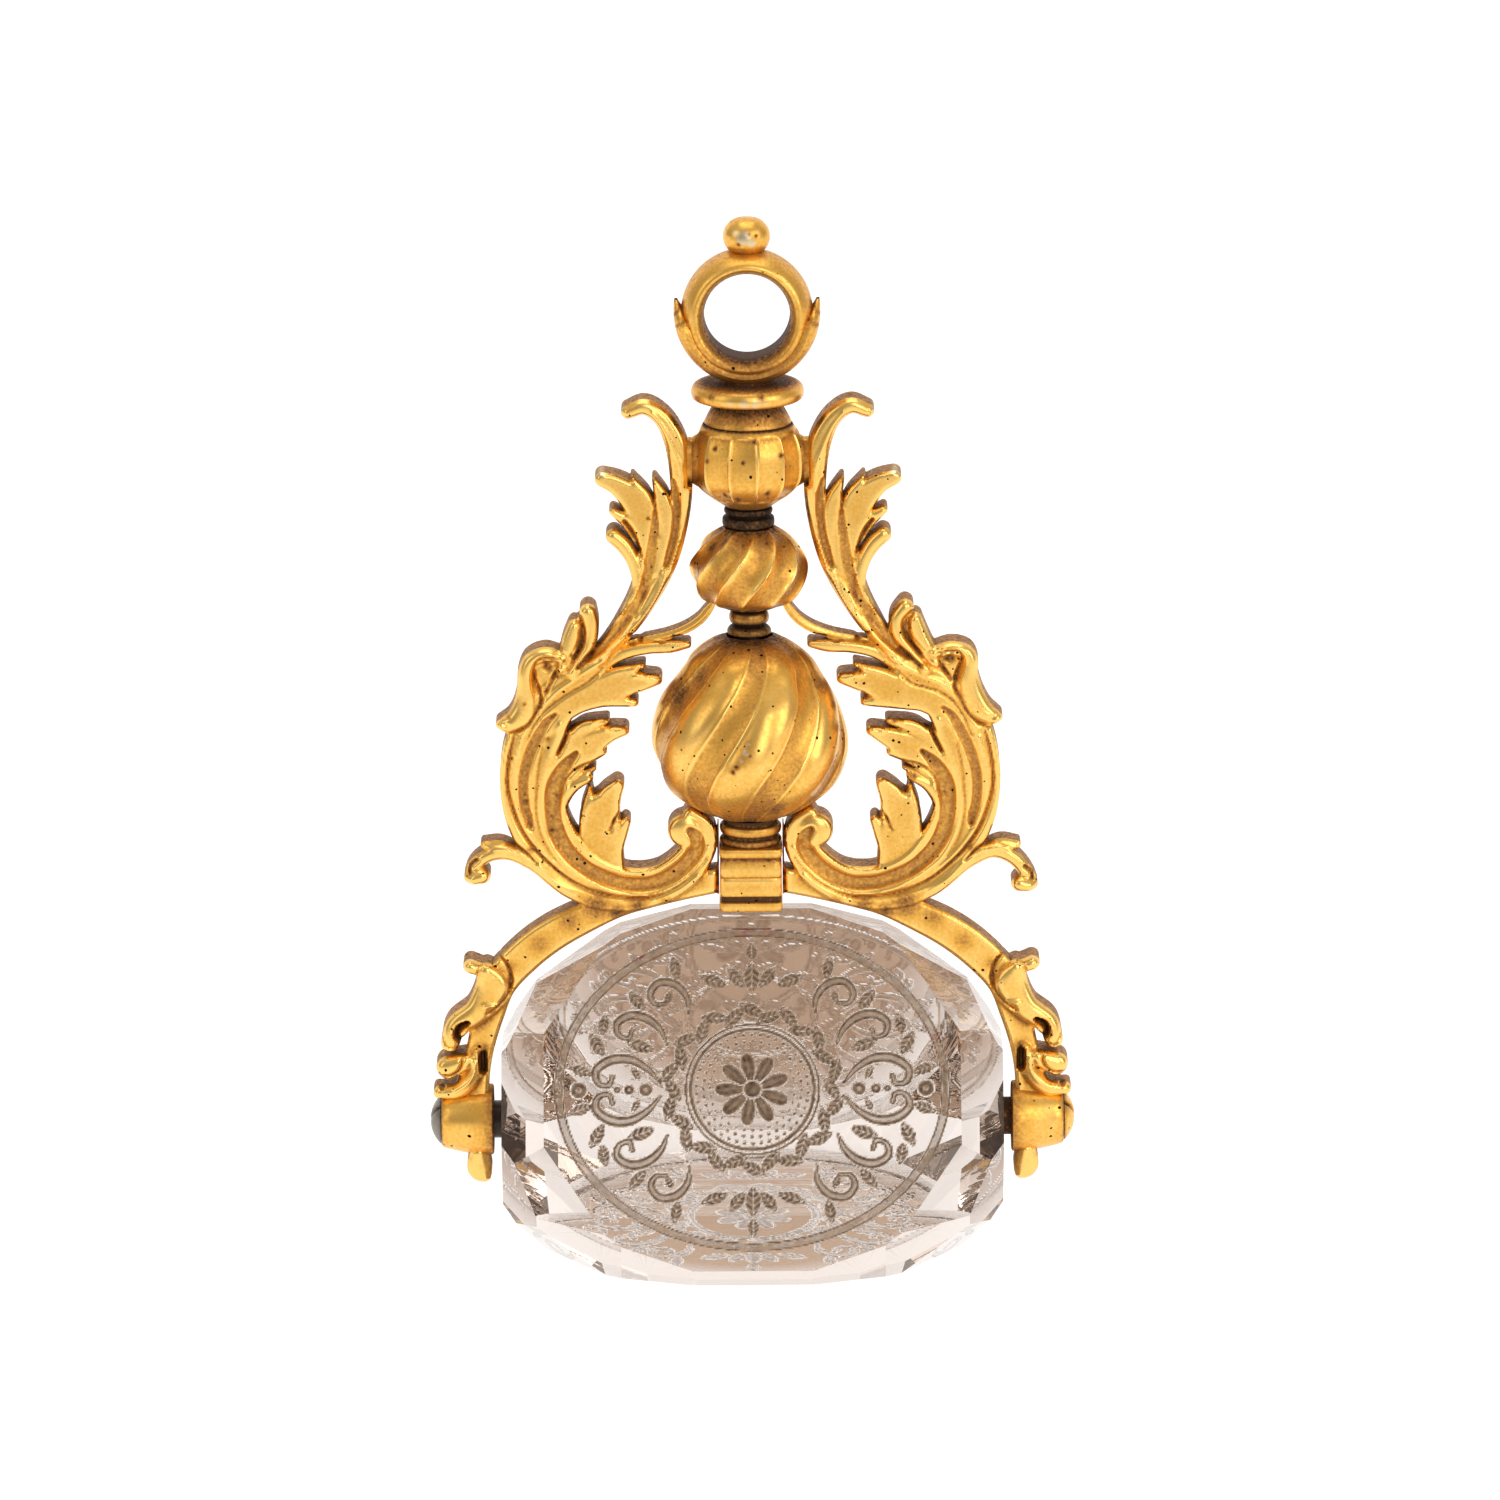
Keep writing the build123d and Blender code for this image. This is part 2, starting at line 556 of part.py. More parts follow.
# Gadrooned pear with wide lobes and narrow flutes in turn, twisting downwards
with BuildPart() as twisted_pear:
    for level, share, turn in PEAR_ROWS:
        with BuildSketch(Plane.XY.offset(pear_bottom + level * PEAR_HEIGHT)):
            add(lobed_section(share * PEAR_RADIUS, PEAR_GADROONS, PEAR_START + turn * PEAR_TWIST))
    loft()
    with BuildSketch(Plane.XY.offset(pear_bottom)):
        Circle(rod_hole_radius)
    extrude(amount=PEAR_HEIGHT, mode=Mode.SUBTRACT)

with BuildPart() as lower_collar:
    with BuildSketch(Plane.XZ):
        add(
            turned_outline(
                LOWER_COLLAR_ROWS, LOWER_COLLAR_RADIUS, LOWER_COLLAR_HEIGHT, lower_collar_bottom
            )
        )
    revolve(axis=Axis.Z)
    with BuildSketch(Plane.XY.offset(lower_collar_bottom)):
        Circle(rod_hole_radius)
    extrude(amount=LOWER_COLLAR_HEIGHT, mode=Mode.SUBTRACT)

with BuildPart() as twisted_bead:
    for level, share, turn in TWISTED_ROWS:
        with BuildSketch(Plane.XY.offset(twisted_bottom + level * TWISTED_HEIGHT)):
            add(lobed_section(share * TWISTED_RADIUS, TWISTED_GADROONS, turn * TWISTED_TWIST))
    loft()
    with BuildSketch(Plane.XY.offset(twisted_bottom)):
        Circle(rod_hole_radius)
    extrude(amount=TWISTED_HEIGHT, mode=Mode.SUBTRACT)

with BuildPart() as upper_collar:
    with BuildSketch(Plane.XZ):
        add(
            turned_outline(
                UPPER_COLLAR_ROWS, UPPER_COLLAR_RADIUS, UPPER_COLLAR_HEIGHT, upper_collar_bottom
            )
        )
    revolve(axis=Axis.Z)
    with BuildSketch(Plane.XY.offset(upper_collar_bottom)):
        Circle(rod_hole_radius)
    extrude(amount=UPPER_COLLAR_HEIGHT, mode=Mode.SUBTRACT)

# Fluted bead, with a pad each side that carries an arm
with BuildPart() as fluted_bead:
    for level, share, turn in FLUTED_ROWS:
        with BuildSketch(Plane.XY.offset(fluted_bottom + level * FLUTED_HEIGHT)):
            add(lobed_section(share * FLUTED_RADIUS, FLUTED_GADROONS, FLUTED_START))
    loft()
    with Locations((0, 0, pad_middle)):
        Box(2 * pad_reach, PAD_DEPTH, PAD_HEIGHT)
    with BuildSketch(Plane.XY.offset(fluted_bottom)):
        Circle(rod_hole_radius)
    extrude(amount=FLUTED_HEIGHT, mode=Mode.SUBTRACT)

# Hanging ring in its calyx, with the ball above and the flange and neck below, cast as one
with BuildPart() as bow:
    with BuildSketch(Plane.XY.offset(neck_bottom)):
        Circle(NECK_RADIUS)
    extrude(amount=flange_middle - neck_bottom)
    with Locations((0, 0, neck_bottom)):
        Cone(
            NECK_FOOT_RADIUS,
            NECK_RADIUS,
            NECK_HEIGHT,
            align=(Align.CENTER, Align.CENTER, Align.MIN),
        )
    with BuildSketch(Plane.XY.offset(flange_middle)):
        Circle(BOW_SEAT_RADIUS)
    extrude(amount=bow_centre - flange_middle)
    with BuildSketch(Plane.XZ):
        add(turned_outline(FLANGE_ROWS, FLANGE_RADIUS, FLANGE_HEIGHT, flange_bottom))
    revolve(axis=Axis.Z)
    with BuildSketch(Plane.XZ):
        tip_reach = BOW_OUTER_RADIUS + CALYX_TIP_THICKNESS
        with BuildLine():
            ThreePointArc(
                (-tip_reach, bow_centre + CALYX_TIP_RISE),
                (0, flange_top),
                (tip_reach, bow_centre + CALYX_TIP_RISE),
            )
            Polyline(
                (tip_reach, bow_centre + CALYX_TIP_RISE),
                (0, bow_centre - BOW_HOLE_RADIUS),
                (-tip_reach, bow_centre + CALYX_TIP_RISE),
            )
        make_face()
    extrude(amount=CALYX_DEPTH / 2, both=True)
    with BuildSketch(Plane.XZ):
        with Locations((0, bow_centre)):
            Circle(BOW_MOUTH_RADIUS)
    extrude(amount=BOW_DEPTH, both=True, mode=Mode.SUBTRACT)
    with BuildSketch(Plane.XY.offset(bow_centre)):
        bulge_depth = BOW_BULGE[1] * BOW_DEPTH
        with BuildLine():
            throat = Line(
                (BOW_HOLE_RADIUS, -BOW_THROAT_LENGTH / 2), (BOW_HOLE_RADIUS, BOW_THROAT_LENGTH / 2)
            )
            back = ThreePointArc(
                throat @ 1, (throat_bulge, bulge_depth), (BOW_MOUTH_RADIUS, BOW_DEPTH / 2)
            )
            rim = ThreePointArc(
                back @ 1, (BOW_OUTER_RADIUS, 0), (BOW_MOUTH_RADIUS, -BOW_DEPTH / 2)
            )
            ThreePointArc(rim @ 1, (throat_bulge, -bulge_depth), throat @ 0)
        make_face()
    revolve(axis=Axis((0, 0, bow_centre), (0, 1, 0)))
    with BuildSketch(Plane.XZ):
        add(turned_outline(BALL_ROWS, BALL_RADIUS, 2 * BALL_HALF_HEIGHT, ball_bottom))
    revolve(axis=Axis.Z)
    with BuildSketch(Plane.XY.offset(neck_bottom)):
        Circle(rod_hole_radius)
    extrude(amount=rod_top + SEAT_GAP - neck_bottom, mode=Mode.SUBTRACT)

# Hidden rod that strings the turned pieces between the block and the bow
with BuildPart() as stem_rod:
    with BuildSketch(Plane.XY.offset(rod_bottom)):
        Circle(ROD_RADIUS)
    extrude(amount=rod_top - rod_bottom)

# Space that the arms leave: the stem's pieces at their largest, and the sweep of the stone
with BuildPart() as arm_clearance:
    for rows, radius, height, base in (
        (PEAR_ROWS, PEAR_RADIUS, PEAR_HEIGHT, pear_bottom),
        (TWISTED_ROWS, TWISTED_RADIUS, TWISTED_HEIGHT, twisted_bottom),
        (FLUTED_ROWS, FLUTED_RADIUS, FLUTED_HEIGHT, fluted_bottom),
    ):
        with BuildSketch(Plane.XZ):
            widened = [(level, share + 2 * SEAT_GAP / radius) for level, share, turn in rows]
            add(turned_outline(widened, radius, height, base))
        revolve(axis=Axis.Z)
    with Locations((0, 0, (block_bottom + collar_top) / 2)):
        Box(2 * arm_inner_end, 2 * ARM_DEPTH, 2 * (collar_top - block_bottom))
    with Locations((0, 0, pad_middle)):
        Box(2 * (pad_reach + SEAT_GAP), 2 * ARM_DEPTH, PAD_HEIGHT)
    for side in (-1, 1):
        with BuildSketch(Plane(origin=(0, 0, pivot_height), x_dir=(side, 0, 0), z_dir=(0, -side, 0))):
            add(swept_outline())
        revolve(axis=Axis((0, 0, pivot_height), (1, 0, 0)))


def build_arm(side):
    """Build one arm: the pierced ground, its raised ribs, the boss and the tenon."""
    with BuildPart() as arm:
        for strokes, depth in (
            (GROUND_STROKES, ARM_GROUND_DEPTH),
            (RAISED_STROKES, ARM_DEPTH),
            (TENDRIL_STROKES, TENDRIL_DEPTH),
        ):
            with BuildSketch(upright_plane):
                for stroke_name, stroke in strokes.items():
                    move = RIGHT_MOVES.get(stroke_name, (0, 0)) if side > 0 else (0, 0)
                    add(stroke_face(stroke, side, move))
            extrude(amount=depth / 2, both=True)
        with BuildSketch(Plane(origin=(side * boss_inner_end, 0, pivot_height), z_dir=(side, 0, 0))):
            Circle(BOSS_INNER_RADIUS)
        with BuildSketch(Plane(origin=(side * arm_reach, 0, pivot_height), z_dir=(side, 0, 0))):
            Circle(BOSS_OUTER_RADIUS)
        loft()
        add(arm_clearance.part, mode=Mode.SUBTRACT)
        with Locations((side * (arm_inner_end - TENON_LENGTH), 0, tenon_middle)):
            Box(
                TENON_LENGTH + ARM_DEPTH / 2,
                TENON_WIDTH,
                TENON_HEIGHT,
                align=(Align.MIN if side > 0 else Align.MAX, Align.CENTER, Align.CENTER),
            )
        with BuildSketch(Plane(origin=(side * boss_inner_end, 0, pivot_height), z_dir=(side, 0, 0))):
            Circle(PIN_RADIUS + SEAT_GAP)
        extrude(amount=2 * BOSS_LENGTH, both=True, mode=Mode.SUBTRACT)
    return arm.part


def build_screw(side):
    """Build one pivot screw: a slotted dome head, and a pin through the boss into the stone."""
    head_start = arm_reach + SEAT_GAP
    head_end = head_start + SCREW_HEAD_HEIGHT
    bulge_reach = head_start + SCREW_HEAD_BULGE[0] * SCREW_HEAD_HEIGHT
    pin_start = STONE_HALF_LENGTH - PIN_DEPTH
    with BuildPart() as screw:
        with BuildSketch(Plane(origin=(side * pin_start, 0, pivot_height), z_dir=(side, 0, 0))):
            Circle(PIN_RADIUS)
        extrude(amount=head_start - pin_start)
        with BuildSketch(upright_plane):
            with BuildLine():
                ThreePointArc(
                    (side * head_start, SCREW_HEAD_RADIUS),
                    (side * bulge_reach, SCREW_HEAD_BULGE[1] * SCREW_HEAD_RADIUS),
                    (side * head_end, 0),
                )
                Polyline(
                    (side * head_end, 0),
                    (side * head_start, 0),
                    (side * head_start, SCREW_HEAD_RADIUS),
                )
            make_face()
        revolve(axis=Axis((0, 0, pivot_height), (1, 0, 0)))
        with Locations((side * head_end, 0, pivot_height)):
            Box(
                2 * SCREW_SLOT_DEPTH,
                SCREW_SLOT_WIDTH,
                3 * SCREW_HEAD_RADIUS,
                rotation=(SCREW_SLOT_ANGLE, 0, 0),
                mode=Mode.SUBTRACT,
            )
    return screw.part


pieces = {
    "seal_stone": seal_stone.part,
    "base_block": base_block.part,
    "twisted_pear": twisted_pear.part,
    "lower_collar": lower_collar.part,
    "twisted_bead": twisted_bead.part,
    "upper_collar": upper_collar.part,
    "fluted_bead": fluted_bead.part,
    "bow": bow.part,
    "stem_rod": stem_rod.part,
    "left_arm": build_arm(-1),
    "right_arm": build_arm(1),
    "left_pivot_screw": build_screw(-1),
    "right_pivot_screw": build_screw(1),
}

os.makedirs("parts", exist_ok=True)
for piece_name, piece in pieces.items():
    piece.label = piece_name
    export_step(piece, f"parts/{piece_name}.step")
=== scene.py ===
"""Looks of the swivel fob seal: relief, engraving, finishes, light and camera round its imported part."""

import json
import logging
import math
from collections.abc import Callable, Iterable, Sequence
from dataclasses import dataclass, field
from enum import Enum
from functools import partial

import bmesh
import bpy
import numpy as np
from bpy.types import Material, Node, NodeSocket, NodeTree, Object
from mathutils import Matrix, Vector
from mathutils.geometry import delaunay_2d_cdt

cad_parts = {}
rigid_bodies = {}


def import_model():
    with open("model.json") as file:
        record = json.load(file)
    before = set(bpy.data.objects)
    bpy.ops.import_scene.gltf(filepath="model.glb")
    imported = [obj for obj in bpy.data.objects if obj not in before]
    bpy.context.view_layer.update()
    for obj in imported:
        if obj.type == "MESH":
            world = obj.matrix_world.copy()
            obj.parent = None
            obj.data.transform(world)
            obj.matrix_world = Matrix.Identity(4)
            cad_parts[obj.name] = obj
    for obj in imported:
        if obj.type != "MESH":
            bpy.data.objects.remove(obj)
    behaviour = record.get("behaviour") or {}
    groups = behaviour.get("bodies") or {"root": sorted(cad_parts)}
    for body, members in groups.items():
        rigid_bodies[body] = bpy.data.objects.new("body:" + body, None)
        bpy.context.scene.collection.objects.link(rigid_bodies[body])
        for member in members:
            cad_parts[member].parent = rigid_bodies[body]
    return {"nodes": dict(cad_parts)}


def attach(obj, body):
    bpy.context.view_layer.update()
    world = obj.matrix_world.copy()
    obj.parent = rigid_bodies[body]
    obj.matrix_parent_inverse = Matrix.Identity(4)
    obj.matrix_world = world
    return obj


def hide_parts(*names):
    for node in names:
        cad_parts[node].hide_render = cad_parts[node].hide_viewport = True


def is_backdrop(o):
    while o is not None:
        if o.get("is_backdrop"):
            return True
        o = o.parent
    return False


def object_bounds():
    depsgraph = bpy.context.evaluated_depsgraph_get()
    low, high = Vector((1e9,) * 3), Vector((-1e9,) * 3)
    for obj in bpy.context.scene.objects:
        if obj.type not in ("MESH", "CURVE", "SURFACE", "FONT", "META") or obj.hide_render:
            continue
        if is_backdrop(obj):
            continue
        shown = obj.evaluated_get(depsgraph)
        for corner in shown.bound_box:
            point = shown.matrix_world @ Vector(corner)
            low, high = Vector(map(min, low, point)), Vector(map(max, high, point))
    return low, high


log = logging.getLogger("fob_seal")

METRES = 0.001
Pair = tuple[float, float]
Triple = tuple[float, float, float]
Quad = tuple[float, float, float, float]
Stroke = tuple[Triple, ...]
Leaf = tuple[Pair, float, Pair]


def linear(hex_colour: str) -> Quad:
    """Turn an sRGB hex colour into linear light.

    Args:
        hex_colour: Six hexadecimal digits.

    Returns:
        Red, green, blue and an alpha of one.
    """
    parts = [int(hex_colour[i : i + 2], 16) / 255 for i in (0, 2, 4)]
    red, green, blue = (p / 12.92 if p <= 0.04045 else ((p + 0.055) / 1.055) ** 2.4 for p in parts)
    return red, green, blue, 1.0


def ease(values: np.ndarray) -> np.ndarray:
    """Clamp values to 0..1 and round both ends off."""
    t = np.clip(values, 0, 1)
    return t * t * (3 - 2 * t)


def soften(values: np.ndarray, rounds: int, wrap: bool = False) -> np.ndarray:
    """Blur a field by repeated averaging with its neighbours.

    Args:
        values: A field of two dimensions.
        rounds: How many times each direction is averaged.
        wrap: Whether the second direction closes on itself.

    Returns:
        The blurred field.
    """
    out = values.astype(float)
    for _ in range(rounds):
        padded = np.pad(out, ((1, 1), (0, 0)), mode="edge")
        out = (padded[:-2] + 2 * out + padded[2:]) / 4
        padded = np.pad(out, ((0, 0), (1, 1)), mode="wrap" if wrap else "edge")
        out = (padded[:, :-2] + 2 * out + padded[:, 2:]) / 4
    return out


def smooth_path(points: Sequence[Sequence[float]], step: float) -> np.ndarray:
    """Run a smooth curve through points.

    Args:
        points: Rows of numbers, of which the first two are the place.
        step: Largest distance between samples.

    Returns:
        Samples along the curve, with as many columns as the rows.
    """
    rows = np.array(points, float)
    if len(rows) < 2:
        return rows
    gaps = np.sqrt(np.hypot(*np.diff(rows[:, :2], axis=0).T))
    knots = np.concatenate([[0], np.cumsum(np.maximum(gaps, 1e-6))])
    slopes = np.gradient(rows, knots, axis=0) if len(rows) > 2 else np.diff(rows, axis=0) / knots[1]
    if len(rows) == 2:
        slopes = np.vstack([slopes, slopes])
    samples = []
    for k in range(len(rows) - 1):
        span = knots[k + 1] - knots[k]
        count = max(2, int(np.hypot(*(rows[k + 1] - rows[k])[:2]) / step) + 1)
        t = np.linspace(0, 1, count, endpoint=k == len(rows) - 2)[:, None]
        samples.append(
            (2 * t**3 - 3 * t**2 + 1) * rows[k]
            + (t**3 - 2 * t**2 + t) * span * slopes[k]
            + (3 * t**2 - 2 * t**3) * rows[k + 1]
            + (t**3 - t**2) * span * slopes[k + 1]
        )
    return np.concatenate(samples)


@dataclass(frozen=True)
class PhotoCamera:
    """The photograph's viewpoint, used for the camera and for placing what was measured on it.

    Args:
        elevation: Degrees above the horizon.
        distance: Millimetres from the target.
        target_height: Height of the point at the picture's centre, in millimetres.
        picture: Side of the square picture, in its pixels.
        focal: Focal length in the same pixels.
        roll: Degrees that the camera is turned about its own axis.
        axis_top: Pixel place (across, down) of the stem's axis at the ball.
        axis_foot: Pixel place of the axis at the block.
    """

    elevation: float = 14.5
    distance: float = 650.0
    target_height: float = 30.1
    picture: float = 1500.0
    focal: float = 10833.0
    roll: float = 0.4
    axis_top: Pair = (741.5, 236.0)
    axis_foot: Pair = (752.5, 880.0)

    def axis_at(self, down: np.ndarray) -> np.ndarray:
        """Find the stem's axis in the picture.

        Args:
            down: Pixels from the top.

        Returns:
            Pixels from the left.
        """
        (top, top_down), (foot, foot_down) = self.axis_top, self.axis_foot
        share = np.minimum((down - top_down) / (foot_down - top_down), 1)
        return top + (foot - top) * share

    def place(self, across: np.ndarray, down: np.ndarray, depth: float) -> tuple[np.ndarray, ...]:
        """Find the point of an upright plane that shows at a pixel.

        Args:
            across: Pixels from the left.
            down: Pixels from the top.
            depth: The plane's place along Y, in millimetres.

        Returns:
            Distance from the stem's axis and height, in millimetres.
        """
        sine, cosine = math.sin(math.radians(self.elevation)), math.cos(math.radians(self.elevation))
        a = (down - self.picture / 2) / self.focal
        rise = (a * (self.distance + depth * cosine) + depth * sine) / (a * sine - cosine)
        reach = self.distance + depth * cosine - rise * sine
        return (across - self.axis_at(down)) * reach / self.focal, rise + self.target_height

    def build(self) -> Object:
        """Make the scene's camera.

        Returns:
            The camera object.
        """
        angle = math.radians(self.elevation)
        data = bpy.data.cameras.new("photo_camera")
        data.sensor_width = 36.0
        data.lens = data.sensor_width * self.focal / self.picture
        data.clip_start, data.clip_end = 0.01, 20.0
        camera = bpy.data.objects.new("photo_camera", data)
        bpy.context.scene.collection.objects.link(camera)
        away = Vector((0, -math.cos(angle), math.sin(angle)))
        camera.location = (Vector((0, 0, self.target_height)) + away * self.distance) * METRES
        aim = (-away).to_track_quat("-Z", "Y")
        camera.rotation_mode = "QUATERNION"
        camera.rotation_quaternion = aim
        camera.rotation_mode = "XYZ"
        camera.rotation_euler.rotate_axis("Z", math.radians(-self.roll))
        bpy.context.scene.camera = camera
        return camera


def add_node(
    tree: NodeTree, kind: str, inputs: dict | None = None, **settings: object
) -> Node:
    """Add a node, with its settings and what goes into it.

    Args:
        tree: The node tree.
        kind: Blender's name for the node.
        inputs: Values, output sockets or nodes, by the input's name or number.
        settings: Properties of the node.

    Returns:
        The new node.
    """
    node = tree.nodes.new(kind)
    for name, value in settings.items():
        setattr(node, name, value)
    for name, value in (inputs or {}).items():
        if isinstance(value, Node):
            value = value.outputs[0]
        if isinstance(value, NodeSocket):
            tree.links.new(value, node.inputs[name])
        else:
            node.inputs[name].default_value = value
    return node


def set_stops(ramp: Node, stops: Iterable[tuple[float, str]]) -> None:
    """Set the stops of a colour ramp.

    Args:
        ramp: The ramp's node.
        stops: Places and hex colours.
    """
    elements = ramp.color_ramp.elements
    for index, (place, colour) in enumerate(stops):
        if len(elements) <= index:
            elements.new(1.0)
        elements[index].position = place
        elements[index].color = linear(colour)


def new_material(name: str) -> tuple[Material, Callable[..., Node]]:
    """Start a node material.

    Args:
        name: The material's name.

    Returns:
        The material, and add_node for its empty tree.
    """
    material = bpy.data.materials.new(name)
    material.use_nodes = True
    material.node_tree.nodes.clear()
    return material, partial(add_node, material.node_tree)


@dataclass(frozen=True)
class GiltFinish:
    """Mercury gilding over brass, worn bright on the high places and brown in the hollows, with painted
    shade and a painted highlight on ridges mixed in.

    Args:
        name: Material name.
        bright: Worn gilding on edges, partly a painted highlight.
        face: Gilding on open faces.
        dull: Dulled gilding.
        brown: Tarnish in the hollows, and painted shade.
        tones: Amounts of tarnish that show as these four.
        pit: Colour of the pits.
        bare: Colour of the pale places where the gilding is rubbed through.
        plain: Tarnish of an open face.
        mottle: How much the tarnish varies in patches.
        grain: How much it varies from point to point.
        hollow: How the grain scales the tarnish of the hollows, as a gain and a start.
        polish: What wear, partly a painted highlight on ridges, adds to the tarnish.
        noises: Repeats for each millimetre and detail of the patches, the grain, and the places and
            sizes of the pits.
        pits: Share of places that have a pit.
        pit_spacing: Pits for each millimetre.
        pit_size: Gain and start of a pit's size.
        pit_edge: How sharp the edge of a pit is.
        pit_depth: Depth of a pit against the grain's height.
        rubbing: Rubbing at which the pale metal starts to show, and where nothing else shows.
        roughness: Roughness of clean gilding.
        roughened: What tarnish and a pit add to the roughness.
        dulled: What tarnish adds to the metallic share.
        bump: Strength of the grain's bump, and its depth in millimetres.
    """

    name: str = "gilt_brass_worn"
    bright: str = "FFCE72"
    face: str = "EAAF4C"
    dull: str = "BE8540"
    brown: str = "5A3A20"
    tones: tuple[float, ...] = (0.0, 0.22, 0.5, 1.0)
    pit: str = "24150C"
    bare: str = "E2CDA6"
    plain: float = 0.14
    mottle: float = 0.36
    grain: float = 0.4
    hollow: Pair = (1.6, 0.2)
    polish: float = -0.22
    noises: tuple[Pair, ...] = ((0.4, 5.0), (5.0, 3.0), (0.5, 2.0), (1.7, 2.0))
    pits: float = 0.5
    pit_spacing: float = 1.7
    pit_size: Pair = (0.5, -0.12)
    pit_edge: float = 30.0
    pit_depth: float = -3.0
    rubbing: Pair = (0.82, 1.15)
    roughness: float = 0.26
    roughened: Pair = (0.42, 0.3)
    dulled: float = -0.35
    bump: Pair = (0.32, 0.016)

    def build(self) -> Material:
        """Make the material.

        Returns:
            The node material.
        """
        material, node = new_material(self.name)
        # The tarnish attribute is patina in the hollows with painted shade mixed in; the wear attribute is
        # worn gilding with a painted highlight on ridges.
        hollow, wear, rubbed = (
            node("ShaderNodeAttribute", attribute_name=name).outputs["Fac"]
            for name in ("tarnish", "wear", "bare")
        )
        place = node("ShaderNodeTexCoord").outputs["Object"]
        patches, speckle, spots, sizes = (
            node("ShaderNodeTexNoise",
                 {"Vector": place, "Scale": per_mm / METRES, "Detail": detail, "Roughness": 0.6})
            for per_mm, detail in self.noises
        )
        gain, start = self.hollow
        uneven = node("ShaderNodeMath", {0: speckle, 1: gain, 2: start}, operation="MULTIPLY_ADD")
        amount = node("ShaderNodeMath", {0: hollow, 1: uneven}, operation="MULTIPLY")
        for share, source in ((self.mottle, patches), (self.grain, speckle), (self.polish, wear)):
            amount = node("ShaderNodeMath", {0: source, 1: share, 2: amount}, operation="MULTIPLY_ADD")
        level = self.plain - (self.mottle + self.grain) / 2
        amount = node("ShaderNodeMath", {0: amount, 1: level}, operation="ADD", use_clamp=True)
        tone = node("ShaderNodeValToRGB", {0: amount})
        set_stops(tone, zip(self.tones, (self.bright, self.face, self.dull, self.brown)))
        cells = node("ShaderNodeTexVoronoi", {"Vector": place, "Scale": self.pit_spacing / METRES})
        gain, start = self.pit_size
        size = node("ShaderNodeMath", {0: sizes, 1: gain, 2: start}, operation="MULTIPLY_ADD")
        inside = node("ShaderNodeMath", {0: size, 1: cells.outputs["Distance"]}, operation="SUBTRACT")
        sharp = node("ShaderNodeMath", {0: inside, 1: self.pit_edge}, operation="MULTIPLY", use_clamp=True)
        gate = node("ShaderNodeMath", {0: spots, 1: 1.0 - self.pits}, operation="GREATER_THAN")
        pit = node("ShaderNodeMath", {0: sharp, 1: gate}, operation="MULTIPLY")
        rubbing = node("ShaderNodeMath", {0: rubbed, 1: speckle}, operation="ADD")
        low, high = self.rubbing
        scuffed = node("ShaderNodeMapRange", {"Value": rubbing, "From Min": low, "From Max": high})
        colour = tone.outputs["Color"]
        for share, over in ((pit, self.pit), (scuffed, self.bare)):
            inputs = {"Factor": share, "A": colour, "B": linear(over)}
            colour = node("ShaderNodeMix", inputs, data_type="RGBA").outputs["Result"]
        rough = self.roughness
        for share, source in zip(self.roughened, (amount, pit)):
            rough = node("ShaderNodeMath", {0: source, 1: share, 2: rough}, operation="MULTIPLY_ADD")
        metal = node("ShaderNodeMath", {0: amount, 1: self.dulled, 2: 1.0}, operation="MULTIPLY_ADD")
        height = node("ShaderNodeMath", {0: pit, 1: self.pit_depth, 2: speckle}, operation="MULTIPLY_ADD")
        strength, deep = self.bump
        bump = node("ShaderNodeBump", {"Height": height, "Strength": strength, "Distance": deep * METRES})
        shader = node("ShaderNodeBsdfPrincipled",
                      {"Base Color": colour, "Metallic": metal, "Roughness": rough, "Normal": bump})
        node("ShaderNodeOutputMaterial", {"Surface": shader})
        return material


@dataclass(frozen=True)
class SteelFinish:
    """Dull dark steel with brown rust in its pores.

    Args:
        name: Material name.
        clean: Colour of the metal.
        rust: Colour of the rust.
        patches: Patches of rust for each millimetre, and their detail.
        start: Tarnish at which rust shows.
        dulled: What rust adds to the metallic share.
        roughness: Roughness of the metal.
    """

    name: str = "steel_dull"
    clean: str = "8B8478"
    rust: str = "3B2A1C"
    patches: Pair = (1.2, 4.0)
    start: float = 0.45
    dulled: float = -0.6
    roughness: float = 0.36

    def build(self) -> Material:
        """Make the material.

        Returns:
            The node material.
        """
        material, node = new_material(self.name)
        hollow = node("ShaderNodeAttribute", attribute_name="tarnish").outputs["Fac"]
        place = node("ShaderNodeTexCoord").outputs["Object"]
        per_mm, detail = self.patches
        patches = node("ShaderNodeTexNoise", {"Vector": place, "Scale": per_mm / METRES, "Detail": detail})
        level = node("ShaderNodeMath", {0: patches, 1: hollow}, operation="ADD")
        amount = node("ShaderNodeMath", {0: level, 1: self.start}, operation="SUBTRACT", use_clamp=True)
        tone = node("ShaderNodeValToRGB", {0: amount})
        set_stops(tone, ((0.0, self.clean), (1.0, self.rust)))
        metal = node("ShaderNodeMath", {0: amount, 1: self.dulled, 2: 1.0}, operation="MULTIPLY_ADD")
        shader = node("ShaderNodeBsdfPrincipled",
                      {"Base Color": tone, "Metallic": metal, "Roughness": self.roughness})
        node("ShaderNodeOutputMaterial", {"Surface": shader})
        return material


